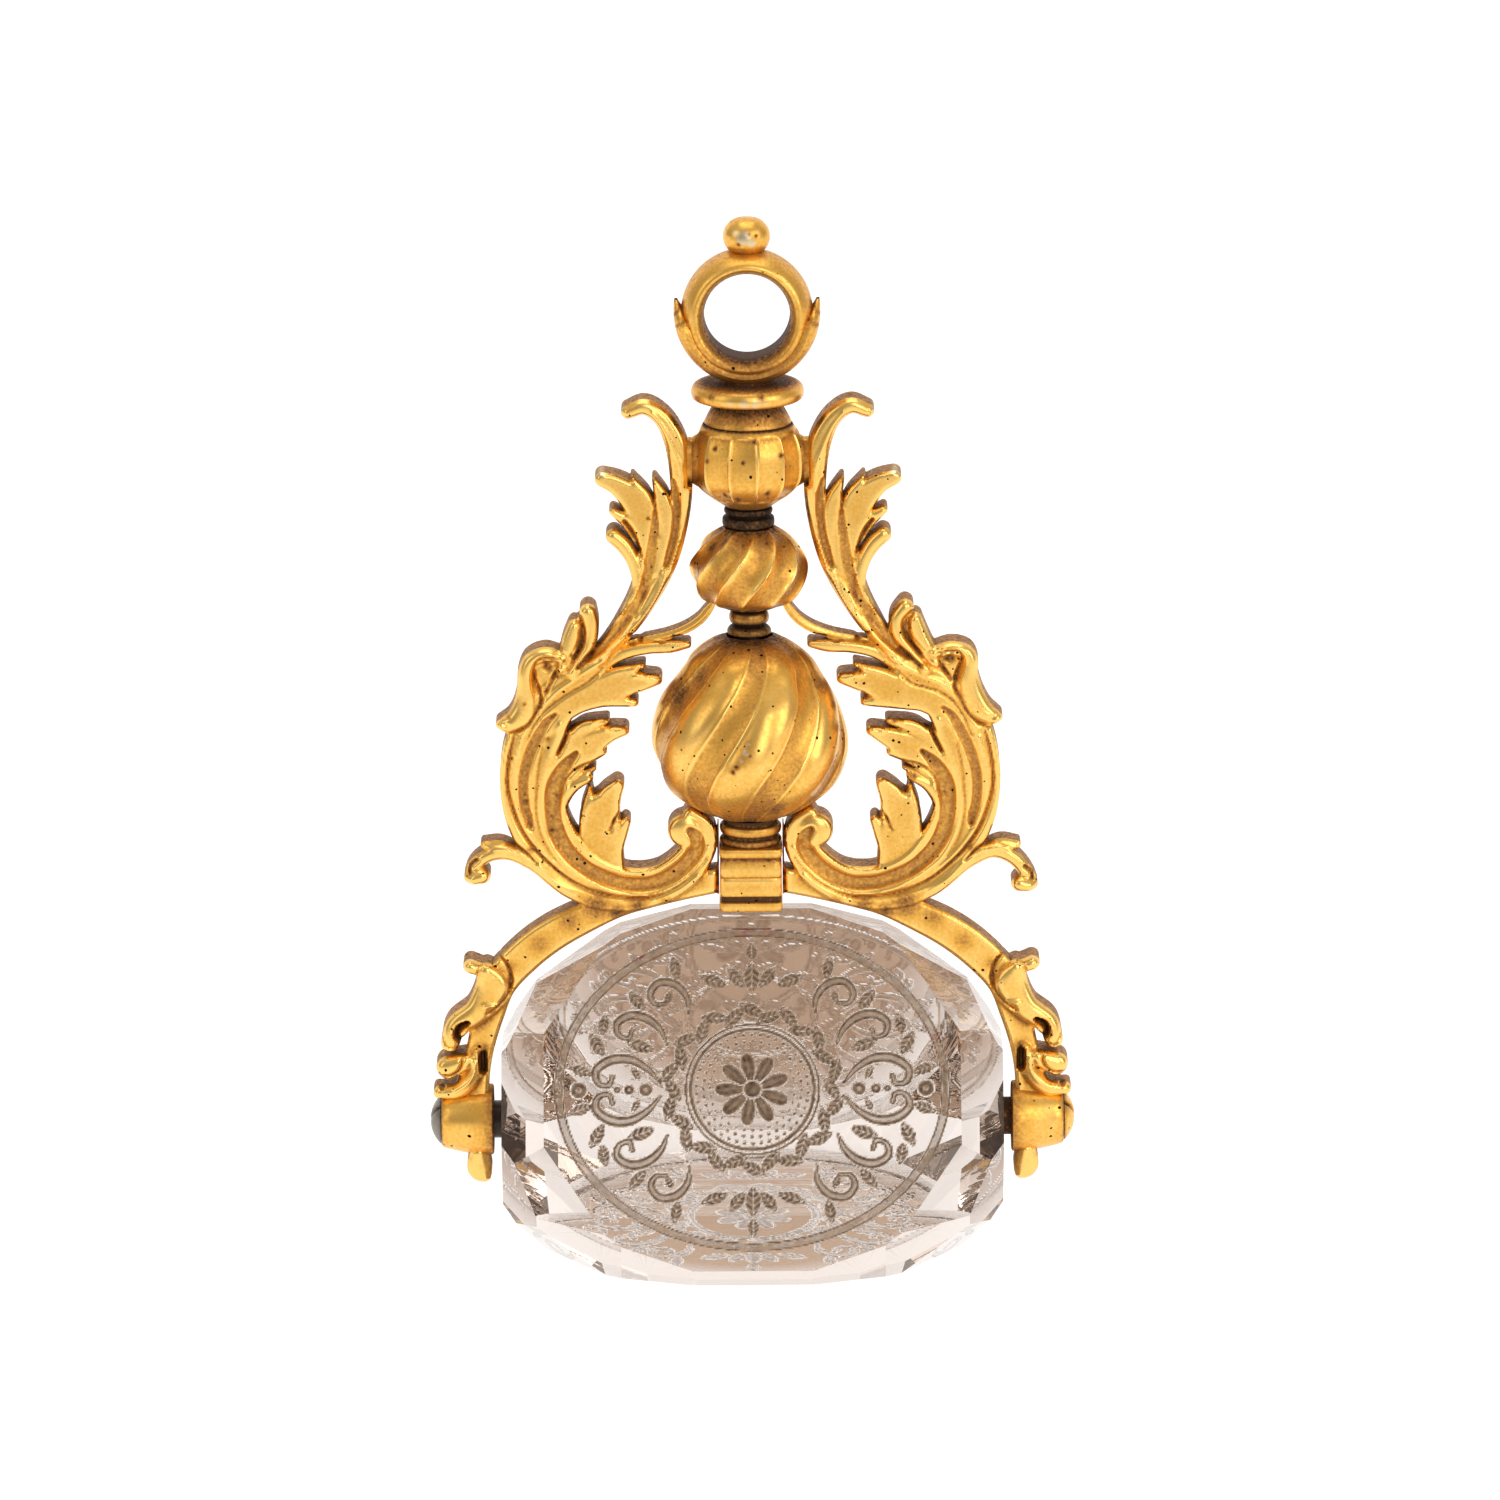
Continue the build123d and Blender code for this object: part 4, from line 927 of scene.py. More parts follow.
# Chased work on the left arm's face: height in mm (grooves below zero), tarnish, and a line of
# (across, down, half width) in the photograph's pixels, on the face itself
CHASING: dict[str, tuple[float, float, Stroke]] = {
    "hook_ridge": (0.12, 0.0, (
        (648, 413, 1.5), (660, 428, 2.4), (670, 448, 2.8), (678, 468, 2.8), (680, 492, 2.4),
        (678, 520, 2.2), (675, 544, 2), (669, 566, 1.8),
    )),
    "hook_channel": (-0.24, 0.42, (
        (671, 480, 2), (674, 497, 4), (675, 515, 4.5), (673, 535, 4.5), (668, 553, 4), (664, 567, 3),
    )),
    "stem_channel": (-0.18, 0.26, (
        (652, 512, 2), (652, 530, 4), (650, 552, 6), (646, 575, 6), (638, 597, 6),
        (625, 618, 6.5), (612, 634, 6.5), (599, 647, 6), (587, 658, 5),
    )),
    "stem_slot": (-0.36, 0.7, ((577, 667, 2.6), (584, 660, 3), (592, 652, 2.4))),
    "stem_ridge_outer": (0.1, 0.0, (
        (640, 552, 2), (641, 570, 2.4), (637, 588, 2.4), (628, 604, 2.4), (616, 618, 2.4),
        (603, 630, 2),
    )),
    "stem_ridge_inner": (0.14, 0.0, (
        (664, 570, 2.2), (660, 586, 2.4), (652, 603, 2.4), (640, 619, 2.4), (626, 633, 2.4),
        (612, 646, 2.2), (600, 656, 1.8),
    )),
    "top_leaf_crease": (-0.26, 0.6, ((648, 486, 1.4), (651, 500, 1.7), (655, 520, 1.5), (656, 536, 1.2))),
    "top_leaf_notch": (-0.22, 0.6, ((626, 474, 1.2), (629, 481, 1.6))),
    "curl_crease": (-0.4, 0.6, ((622, 521, 2.2), (630, 532, 2.6), (636, 546, 2.2), (640, 557, 1.5))),
    "tendril_crevice": (-0.5, 0.95, ((628, 634, 2), (640, 639, 2.4))),
    "tendril_hollow": (-0.4, 0.8, ((673, 640, 2), (684, 640, 2.6))),
    "bud_crease": (-0.32, 0.6, ((578, 616, 1.4), (583, 629, 1.6), (582, 643, 1.6), (573, 657, 1.6))),
    "bud_crease_outer": (-0.24, 0.5, ((574, 617, 1.2), (578, 629, 1.3), (577, 642, 1.3), (569, 654, 1.2))),
    "hood_crease": (-0.34, 0.6, (
        (558, 657, 1.4), (546, 656, 1.6), (537, 659, 1.6), (533, 668, 1.7), (534, 678, 1.7),
        (538, 688, 1.8), (541, 700, 1.8), (535, 713, 1.6), (525, 726, 1.6), (511, 732, 1.5),
    )),
    "eye_socket": (-0.26, 0.5, ((557, 660, 1.4), (556, 669, 1.8), (551, 681, 2), (545, 692, 2.4))),
    "eye_disc": (-0.22, 0.6, ((546, 666, 4.6), (547, 667, 4.6))),
    "eye_ball": (0.4, 0.0, ((546, 666, 2.8), (547, 667, 2.8))),
    "fan_crest": (0.13, 0.0, (
        (606, 659, 2.6), (594, 665, 3.4), (581, 673, 3.6), (570, 681, 3.4), (557, 690, 3.2),
        (545, 702, 3), (535, 713, 3), (526, 725, 2.8), (521, 738, 2.6), (518, 756, 2.4),
    )),
    "fan_crease": (-0.24, 0.5, (
        (603, 667, 1.3), (588, 681, 1.5), (572, 690, 1.5), (558, 699, 1.5), (544, 711, 1.5),
        (534, 724, 1.5), (528, 738, 1.3),
    )),
    "fan_rim": (0.12, 0.0, ((634, 676, 1.4), (643, 676, 2), (653, 679, 2), (661, 679, 1.6))),
    "fan_notch": (-0.24, 0.7, ((641, 664, 1.2), (638, 673, 1.4))),
    "fan_low_notch": (-0.24, 0.8, ((637, 693, 1.6), (631, 697, 1.4))),
    "low_fan_notch": (-0.4, 0.9, ((583, 717, 2.6), (576, 722, 3), (571, 729, 2.4))),
    "low_fan_rim": (0.1, 0.0, ((593, 722, 1.8), (601, 719, 2), (609, 720, 1.5))),
    "low_fan_tip": (0.12, 0.0, ((605, 727, 1.5), (614, 731, 2), (624, 729, 1.6))),
    "last_fan_crease": (-0.3, 0.6, ((565, 780, 1.3), (574, 770, 1.7), (585, 764, 1.7), (595, 761, 1.3))),
    "spur_leaf": (0.09, 0.0, (
        (560, 723, 2.4), (556, 738, 5), (548, 760, 5.6), (543, 785, 3.4), (542, 812, 3),
        (548, 836, 2.8), (561, 858, 2.4), (582, 874, 2.2), (604, 887, 2.4), (625, 893, 2.4),
        (648, 894, 2.4), (667, 891, 2.4), (685, 881, 2.4), (700, 867, 2.4), (709, 848, 2.2),
    )),
    "spur_groove": (-0.12, 0.3, (
        (543, 745, 1.4), (539, 765, 1.8), (537, 790, 1.8), (537, 812, 1.8), (543, 836, 1.6),
        (556, 858, 1.4),
    )),
    "slit": (-0.5, 0.85, ((569, 728, 1.8), (564, 741, 2), (558, 754, 1.6))),
    "channel_a": (-0.22, 0.28, (
        (556, 713, 2), (546, 722, 4.5), (537, 737, 6), (530, 753, 6), (525, 771, 5.6),
        (524, 788, 5.4), (526, 806, 5.2), (530, 819, 4.6), (531, 826, 3.4),
    )),
    "channel_b": (-0.28, 0.3, (
        (577, 752, 2.5), (565, 766, 7), (556, 784, 9.4), (554, 807, 9.2), (558, 830, 9),
        (569, 850, 8.6), (587, 867, 8.4), (609, 878, 8), (632, 884, 8), (655, 883, 8.4),
        (677, 873, 9), (692, 859, 9), (699, 843, 8), (695, 834, 6), (691, 830, 4),
    )),
    "rim_outer": (0.08, 0.0, (
        (507, 728, 2.2), (503, 770, 2.4), (507, 805, 2.4), (519, 833, 2.6), (538, 859, 2.6),
        (558, 880, 2.6), (586, 893, 2.6), (607, 899, 2.6), (648, 901, 2.6), (678, 891, 2.4),
        (700, 876, 2.2),
    )),
    "rim_groove": (-0.24, 0.5, (
        (514, 735, 1.6), (509, 760, 2), (508, 785, 2), (513, 806, 2), (522, 828, 2),
        (536, 848, 2), (553, 865, 2), (574, 881, 2), (599, 892, 1.8), (625, 897, 1.6),
        (652, 897, 1.6), (679, 886, 1.6), (697, 871, 1.4), (709, 857, 1.2),
    )),
    "rim_inner": (0.08, 0.0, (
        (521, 740, 2.4), (516, 756, 2.6), (515, 780, 2.6), (519, 806, 2.6), (528, 829, 2.6),
        (543, 850, 2.4), (563, 869, 2.2),
    )),
    "inner_bevel": (0.1, 0.0, (
        (568, 778, 2), (566, 798, 2.4), (571, 820, 2.4), (580, 840, 2.4), (595, 857, 2.6),
        (615, 868, 3), (638, 872, 3), (658, 868, 2.8), (674, 860, 2.6), (685, 849, 2.2),
    )),
    "cup_rim": (0.12, 0.0, ((603, 789, 1.4), (609, 784, 2), (617, 781, 2), (624, 783, 1.6))),
    "cup_side_rim": (0.12, 0.0, ((613, 825, 1.5), (619, 819, 2), (625, 817, 2), (629, 820, 1.5))),
    "cup_crease": (-0.34, 0.8, ((619, 813, 1.4), (615, 820, 1.7), (611, 830, 1.4))),
    "cup_notch": (-0.22, 0.7, ((598, 785, 1.2), (600, 794, 1.4))),
    "foot_ridge": (0.12, 0.0, (
        (487, 846, 2), (505, 848, 2.4), (523, 853, 2.6), (540, 866, 2.6), (556, 882, 2.4),
        (576, 894, 2.2),
    )),
    "foot_crevice": (-0.24, 0.8, ((505, 838, 1.5), (515, 843, 2), (526, 851, 1.8), (538, 862, 1.4))),
    "foot_hollow": (-0.4, 0.7, ((479, 858, 2.2), (472, 864, 2.4), (471, 873, 2.2))),
    "head_crease": (-0.34, 0.6, (
        (499, 955, 1.6), (508, 964, 1.8), (512, 980, 1.8), (508, 994, 1.8), (499, 1004, 1.8),
        (488, 1012, 1.6),
    )),
    "head_spur": (0.2, 0.0, ((486, 1004, 3), (499, 1003, 2))),
    "head_hollow": (-0.8, 0.95, ((468, 1021, 2.4), (460, 1025, 3), (457, 1034, 3.2), (463, 1041, 2.6))),
    "head_petal": (0.3, 0.0, ((467, 1026, 3), (466, 1033, 3.6))),
    "chin_line": (-0.26, 0.5, ((444, 1036, 1.4), (449, 1045, 1.7), (459, 1046, 1.5))),
    "lobe_line": (-0.34, 0.6, ((434, 1071, 1.5), (448, 1074, 1.8), (460, 1067, 1.8), (463, 1054, 1.5))),
    "lobe_band": (0.14, 0.0, ((467, 1051, 2), (475, 1063, 2.8), (469, 1079, 2.8), (455, 1089, 2.6))),
    "lobe_hollow": (-0.5, 0.8, ((436, 1084, 1.8), (444, 1086, 2.2))),
    "slot": (-1.0, 0.95, ((483, 1053, 3.4), (483, 1070, 4))),
}

# Stains and painted shade on the arms (-1 left, 1 right, 0 both): the place as for the chasing, half width
# in pixels, tarnish
ARM_STAINS_AND_SHADE: dict[int, tuple[Quad, ...]] = {
    0: (
        (598, 905, 20, 0.6), (640, 906, 14, 0.7), (618, 913, 13, 0.7), (570, 918, 16, 0.42),
        # The marks at 720.5 across are a painted shadow in the gap beside the block, and the mark at (532,
        # 848) is painted shade on the arm's outer edge above the arch
        (668, 903, 10, 0.5), (540, 944, 14, 0.3), (512, 966, 8, 0.4), (720.5, 855, 4, 1),
        (720.5, 835, 4, 1), (720.5, 845, 4, 1), (720.5, 865, 4, 1), (720.5, 875, 4, 1),
        (720.5, 885, 4, 1), (532, 848, 6, 0.6), (626, 409, 5, 0.3), (653, 478, 4, 0.6),
        (485, 1050, 9, 0.7), (480, 1105, 9, 0.3),
    ),
    -1: (
        (526, 801, 5, 0.95), (528, 815, 3.5, 0.6), (554, 830, 7, 0.8), (552, 816, 4, 0.7),
        (560, 846, 5, 0.5), (548, 738, 4, 0.6), (563, 659, 2.4, 0.9), (570, 654, 2.4, 1),
        (557, 676, 2, 0.9), (593, 642, 2.2, 1), (581, 646, 2, 0.9), (524, 702, 2.4, 0.9),
        (509, 716, 2.4, 0.9), (541, 706, 1.8, 0.9), (512, 757, 2.2, 1), (646, 518, 2.6, 1),
        (650, 567, 2.6, 1), (676, 517, 2.4, 1),
    ),
    1: (
        (587, 778, 5, 0.8), (600, 720, 4, 0.7), (575, 668, 4, 0.8), (640, 560, 4, 0.6),
    ),
}

# Places where the arms' gilding is rubbed through, in the same way
ARM_RUBBED: dict[int, tuple[Quad, ...]] = {
    0: (
        (617, 408, 8, 0.7), (598, 472, 9, 0.8), (532, 646, 8, 0.6), (548, 642, 8, 0.6),
        (472, 957, 9, 0.5),
    ),
    -1: (
        (588, 602, 6, 0.6),
    ),
    1: (
        (480, 842, 6, 0.5),
    ),
}

# How the right casting differs once mirrored: at (across, down) on the left arm, a move in pixels
# (toward the stem, upwards) that fades out over a distance
CASTING_MOVES = (
    (526, 690, 4, 15, 34),
    (586, 632, 12, 7, 26),
    (605, 735, 8, -3, 26),
    (600, 680, -2, -5, 24),
    (480, 866, 0, -12, 22),
)


@dataclass
class ScrollArm:
    """One pierced scrollwork arm, as a relief on both faces of a plate.

    Args:
        camera: The photograph's viewpoint.
        side: -1 for the left arm and 1 for the right one.
        step: Grid step in millimetres.
        face_depth: Place of the chased face along Y.
        reach: Inner and outer ends from the stem's axis.
        heights: Lowest and highest places.
        boss: Inner end, outer end, inner radius and outer radius of the boss.
        pivot_height: Height of the pivot.
        block_reach: Where the arm stops beside the block.
        block_top: Height up to which the block stands beside the arm.
        pad: Reach, middle height and height of the pad on the fluted bead.
        edge: Width and depth of the rounding along the outline.
        plain: Half thickness where no stroke sets one, and the least half thickness.
        blend: How far outside a stroke its thickness starts, and over what width it comes.
        wall: Share of a groove's half width that its wall takes up, and the wall's least width.
        smoothing: Rounds of blurring after which a face counts as level.
        hollow: Tarnish of the hollows, and how deep they are where they have all of it.
        worn: How far an edge stands out where it is fully worn and brightened by a painted highlight.
        sides: Tarnish of the side walls, partly painted shade, how much of the rubbing reaches them, and
            their rows.
    """

    camera: PhotoCamera
    side: int
    step: float = 0.088
    face_depth: float = -1.25
    reach: Pair = (1.6, 19.4)
    heights: Pair = (2.6, 53.4)
    boss: Quad = (15.65, 18.8, 2.15, 1.65)
    pivot_height: float = 7.15
    block_reach: float = 1.91
    block_top: float = 26.5
    pad: Triple = (3.62, 47.97, 2.8)
    edge: Pair = (0.2, 0.17)
    plain: Pair = (0.9, 0.3)
    blend: Pair = (0.05, 0.12)
    wall: Pair = (0.4, 0.09)
    smoothing: int = 20
    hollow: Pair = (0.66, 0.14)
    worn: float = 0.1
    sides: tuple[float, float, int] = (0.58, 0.6, 4)

    def line(self, stroke: Stroke, depth: float) -> np.ndarray:
        """Place a stroke on the arm.

        Args:
            stroke: Across, down and half width, in pixels.
            depth: Where the stroke was measured, along Y.

        Returns:
            Reach, height and half width along the stroke, in millimetres.
        """
        rows = np.array(stroke, float)
        if self.side > 0:
            for across, down, inward, up, span in CASTING_MOVES:
                fade = np.exp(-((rows[:, 0] - across) ** 2 + (rows[:, 1] - down) ** 2) / span**2)
                rows[:, 0] += inward * fade
                rows[:, 1] -= up * fade
        scale = self.camera.distance / self.camera.focal
        reach, height = self.camera.place(rows[:, 0], rows[:, 1], depth)
        return smooth_path(np.stack([-reach, height, rows[:, 2] * scale], axis=1), self.step / 2)

    def measure(
        self, line: np.ndarray, margin: float
    ) -> tuple[tuple[slice, slice], np.ndarray, np.ndarray]:
        """Measure the grid near a line.

        Args:
            line: Reach, height and half width along a stroke.
            margin: How far round the stroke the grid is measured.

        Returns:
            The grid's window, the depth inside the stroke, and the distance as a share of its half width.
        """
        low = line[:, :2].min(0) - line[:, 2].max() - margin
        high = line[:, :2].max(0) + line[:, 2].max() + margin
        start = np.array([self.reach[0], self.heights[0]])
        first = np.maximum(np.floor((low - start) / self.step).astype(int), 0)
        last = np.minimum(np.ceil((high - start) / self.step).astype(int) + 1, self.shape)
        window = (slice(first[0], last[0]), slice(first[1], last[1]))
        x, z = self.grid_x[window[0]], self.grid_z[window[1]]
        best = np.full((len(x), len(z)), -1e9)
        off = np.full((len(x), len(z)), 9.0)
        for r, h, half in line:
            distance = np.hypot(x[:, None] - r, z[None, :] - h)
            depth = half - distance
            nearer = depth > best
            best = np.where(nearer, depth, best)
            off = np.where(nearer, distance / half, off)
        return window, best, off

    def outline(self) -> tuple[np.ndarray, np.ndarray]:
        """Work out where the arm is and how thick its plain faces are.

        Returns:
            The mask and the half thickness on the grid.
        """
        mask = np.full(tuple(self.shape), -1.0)
        half = np.full(tuple(self.shape), self.plain[0])
        for form, level, lift, stroke in OUTLINE.values():
            window, depth, off = self.measure(self.line(stroke, 0.0), 2 * self.edge[0])
            mask[window] = np.maximum(mask[window], depth)
            cover = ease((depth + self.blend[0]) / self.blend[1])
            half[window] = half[window] * (1 - cover) + (level + lift * form.height(off)) * cover
        x, z = self.grid_x[:, None], self.grid_z[None, :]
        beside_block = np.where(z < self.block_top, x - self.block_reach, 1.0)
        pad_reach, pad_middle, pad_height = self.pad
        beside_pad = np.where(abs(z - pad_middle) < pad_height / 2, x - pad_reach, 1.0)
        return np.minimum(np.minimum(mask, beside_block), beside_pad), half

    def relief(self) -> dict[str, np.ndarray]:
        """Work out the arm's outline, thickness and finish on the grid.

        Returns:
            The mask, the half thickness, and the finish's fields by attribute name.
        """
        self.grid_x = np.arange(self.reach[0], self.reach[1], self.step)
        self.grid_z = np.arange(self.heights[0], self.heights[1], self.step)
        self.shape = np.array([len(self.grid_x), len(self.grid_z)])
        mask, half = self.outline()
        brown = np.zeros(tuple(self.shape))
        bare = np.zeros(tuple(self.shape))
        for height, tarnish, stroke in CHASING.values():
            window, depth, off = self.measure(self.line(stroke, self.face_depth), 0.1)
            if height > 0:
                half[window] += height * np.clip(1 - off**2, 0, 1)
            else:
                wall = np.maximum(self.wall[0] * depth / np.maximum(1 - off, 1e-3), self.wall[1])
                cut = ease(depth / wall)
                half[window] += height * cut
                brown[window] = np.maximum(brown[window], tarnish * cut)
        for marks, field_of in ((ARM_STAINS_AND_SHADE, brown), (ARM_RUBBED, bare)):
            for across, down, size, amount in marks[0] + marks[self.side]:
                line = self.line(((across, down, size),), self.face_depth)
                window, _, off = self.measure(line, line[0, 2])
                field_of[window] = np.maximum(field_of[window], amount * np.exp(-2 * off**2))
        width, deep = self.edge
        half -= deep * (1 - np.clip(mask / width, 0, 1)) ** 2
        half = soften(np.maximum(half, self.plain[1]), 1)
        smooth = soften(half, self.smoothing)
        inner = np.clip(mask / width - 1, 0, 1)
        tarnish, full = self.hollow
        brown = np.maximum(brown, tarnish * inner * np.clip((smooth - half) / full, 0, 1))
        # Ridges count as worn and are brightened as a painted highlight.
        wear = np.clip((half - smooth) / self.worn, 0, 1)
        return {"mask": mask, "half": half, "tarnish": brown, "wear": wear, "bare": bare}

    def build(self, material: Material) -> Object:
        """Make the arm.

        Args:
            material: The gilding.

        Returns:
            The arm's object.
        """
        fields = self.relief()
        cells = Cells.cut(fields.pop("mask"))
        x = (self.reach[0] + cells.places[:, 0] * self.step) * self.side
        z = self.heights[0] + cells.places[:, 1] * self.step
        thick = cells.sample(fields.pop("half"))
        finish = {name: cells.sample(values) for name, values in fields.items()}
        shape = Shape()
        turned = [face[::-1] for face in cells.faces]
        front, back = (cells.faces, turned) if self.side > 0 else (turned, cells.faces)
        shape.add(np.stack([x, -thick, z], axis=1), front, **finish)
        shape.add(np.stack([x, thick, z], axis=1), back, **finish)
        rim = np.array(cells.rim)
        used, order = np.unique(rim, return_inverse=True)
        count = len(used)
        tarnish, rubbed, layers = self.sides
        rows = np.linspace(-1, 1, layers)
        points = np.concatenate([np.stack([x[used], row * thick[used], z[used]], axis=1) for row in rows])
        walls = []
        for a, b in order.reshape(rim.shape):
            for k in range(len(rows) - 1):
                quad = [a + k * count, a + (k + 1) * count, b + (k + 1) * count, b + k * count]
                walls.append(quad if self.side > 0 else quad[::-1])
        bare = rubbed * np.tile(finish["bare"][used], len(rows))
        # The side walls get one flat tarnish, partly painted shade.
        shape.add(points, walls, tarnish=np.full(len(points), tarnish), bare=bare)
        self.add_boss(shape)
        name = "left_arm" if self.side < 0 else "right_arm"
        return shape.build(f"{name}_relief", material)

    def add_boss(self, shape: Shape) -> None:
        """Add the boss that carries the pivot screw.

        Args:
            shape: The arm's mesh.
        """
        inner, outer, inner_radius, outer_radius = self.boss
        rows = (
            (inner, 1.24, 0.9), (inner, inner_radius - 0.12, 0.75), (inner + 0.08, inner_radius, 0.4),
            (inner + 0.7, inner_radius * 0.99, 0.1), (inner + 1.7, inner_radius * 0.94, 0.0),
            (inner + 2.6, outer_radius * 1.1, 0.0), (outer - 0.1, outer_radius * 1.02, 0.1),
            (outer, outer_radius - 0.1, 0.6), (outer, 1.2, 0.9),
        )
        add_rings(shape, self.side, self.pivot_height, 72, [(x, r, r, brown) for x, r, brown in rows])


@dataclass
class TurnedPiece:
    """A piece turned about an axis, with lobes if it has any.

    Args:
        name: The object's name.
        bottom: Height of its foot.
        outline: Height over the foot, radius and added tarnish, partly painted shade, from the foot up.
        lobes: Relief as a share of the radius, for angles within one turn of 360 degrees.
        twist: Degrees that the lobes turn from foot to top.
        lobed: Shares of the height between which the lobes stand.
        marks: Degrees to the right of the front, height over the foot, half width in mm, tarnish (painted
            shade on some flanks), and how far the gilding is rubbed through.
        square: Whether the section is a rounded square.
        around: Vertices round the axis.
        rise: Largest step along the outline.
        crease: Tarnish of a full crease between lobes, and its depth in mm.
        hollow: Tarnish of a hollow lobe, the relief below which it starts, and the span that it takes.
        worn: Height in mm at which a ridge is fully worn and brightened by a painted highlight.
        corners: Power that rounds a square's corners.
    """

    name: str
    bottom: float
    outline: Sequence[Triple]
    lobes: Callable[[np.ndarray], np.ndarray] | None = None
    twist: float = 0.0
    lobed: Pair = (-0.03, 1.03)
    marks: Sequence[tuple[float, float, float, float, float]] = ()
    square: bool = False
    around: int = 96
    rise: float = 0.12
    crease: Pair = (0.36, 0.06)
    hollow: Triple = (0.1, 0.95, 0.04)
    worn: float = 0.04
    corners: int = 14

    def section(self, angles: np.ndarray) -> np.ndarray:
        """Give the section's shape as a share of its radius.

        Args:
            angles: Angles in radians.

        Returns:
            One share for each angle.
        """
        if not self.square:
            return np.ones_like(angles)
        power = self.corners
        return (abs(np.cos(angles)) ** power + abs(np.sin(angles)) ** power) ** (-1 / power)

    def add_to(self, shape: Shape) -> None:
        """Add the piece to a mesh.

        Args:
            shape: The mesh.
        """
        rows = smooth_path(self.outline, self.rise)
        angles = full_turn(self.around)
        height, plain = rows[:, 0][:, None], rows[:, 1][:, None]
        level = rows[:, 0] / max(self.outline[-1][0], 1e-6)
        relief = np.ones((len(rows), self.around))
        if self.lobes:
            degrees = np.degrees(angles)[None, :] - self.twist * level[:, None]
            low, high = self.lobed
            fade = ease(np.minimum(level - low, high - level) / 0.05)[:, None]
            relief = 1 + fade * (self.lobes(degrees % 360) - 1)
        radius = np.maximum(plain * self.section(angles)[None, :] * relief, 1e-3)
        smooth = soften(relief, 14, wrap=True)
        crease_brown, deep = self.crease
        hollow_brown, level_start, span = self.hollow
        crease = np.clip((smooth - relief) * plain / deep, 0, 1)
        hollow = np.clip((level_start - relief) / span, 0, 1)
        tarnish = crease_brown * crease + hollow_brown * hollow + rows[:, 2][:, None]
        # Ridges count as worn and are brightened as a painted highlight.
        wear = np.clip((relief - smooth) * plain / self.worn, 0, 1)
        bare = np.zeros_like(radius)
        for azimuth, up, size, brown, rubbed in self.marks:
            off = (angles - math.radians(azimuth - 90) + np.pi) % (2 * np.pi) - np.pi
            spot = np.exp(-2 * ((off[None, :] * plain) ** 2 + (height - up) ** 2) / size**2)
            tarnish = np.maximum(tarnish, brown * spot)
            bare = np.maximum(bare, rubbed * spot)
        points = np.stack([
            radius * np.cos(angles)[None, :],
            radius * np.sin(angles)[None, :],
            np.repeat(self.bottom + height, self.around, axis=1),
        ], axis=2).reshape(-1, 3)
        faces = ring_faces(len(rows), self.around)
        shape.add(points, faces, tarnish=tarnish.ravel(), wear=wear.ravel(), bare=bare.ravel())

    def build(self, material: Material) -> Object:
        """Make the piece.

        Args:
            material: Its material.

        Returns:
            The object.
        """
        shape = Shape()
        self.add_to(shape)
        return shape.build(self.name, material)


def hollow_flutes(count: int, relief: float, line: float) -> Callable[[np.ndarray], np.ndarray]:
    """Describe equal hollow flutes that meet in raised lines.

    Args:
        count: Flutes in a turn.
        relief: Depth of a flute, as a share of the radius.
        line: Height of the line between two flutes, as a share of the radius.

    Returns:
        A function from degrees to a share of the radius.
    """
    def share(degrees: np.ndarray) -> np.ndarray:
        """Give the radius at these angles, as a share."""
        off = abs((degrees * count / 360) % 1 * 2 - 1)
        return 1 - relief * (1 - off**2) + line * ease((off - 0.84) / 0.14)

    return share


def pear_gadroons(degrees: np.ndarray) -> np.ndarray:
    """Describe the pear's wide bulging gadroons and the narrow hollow ones between them.

    Args:
        degrees: Angles in one turn.

    Returns:
        Shares of the radius.
    """
    repeat = 360 / 7
    split = 0.6 * repeat
    turn = degrees % repeat
    wide = abs(turn * 2 / split - 1)
    narrow = abs((turn - split) * 2 / (repeat - split) - 1)
    edge = np.minimum(np.minimum(turn, abs(turn - split)), repeat - turn)
    base = np.where(turn < split, 1 - 0.055 * wide**2.4, 0.945 - 0.035 * (1 - narrow**2))
    return base + 0.014 * np.exp(-((edge / 1.1) ** 2))


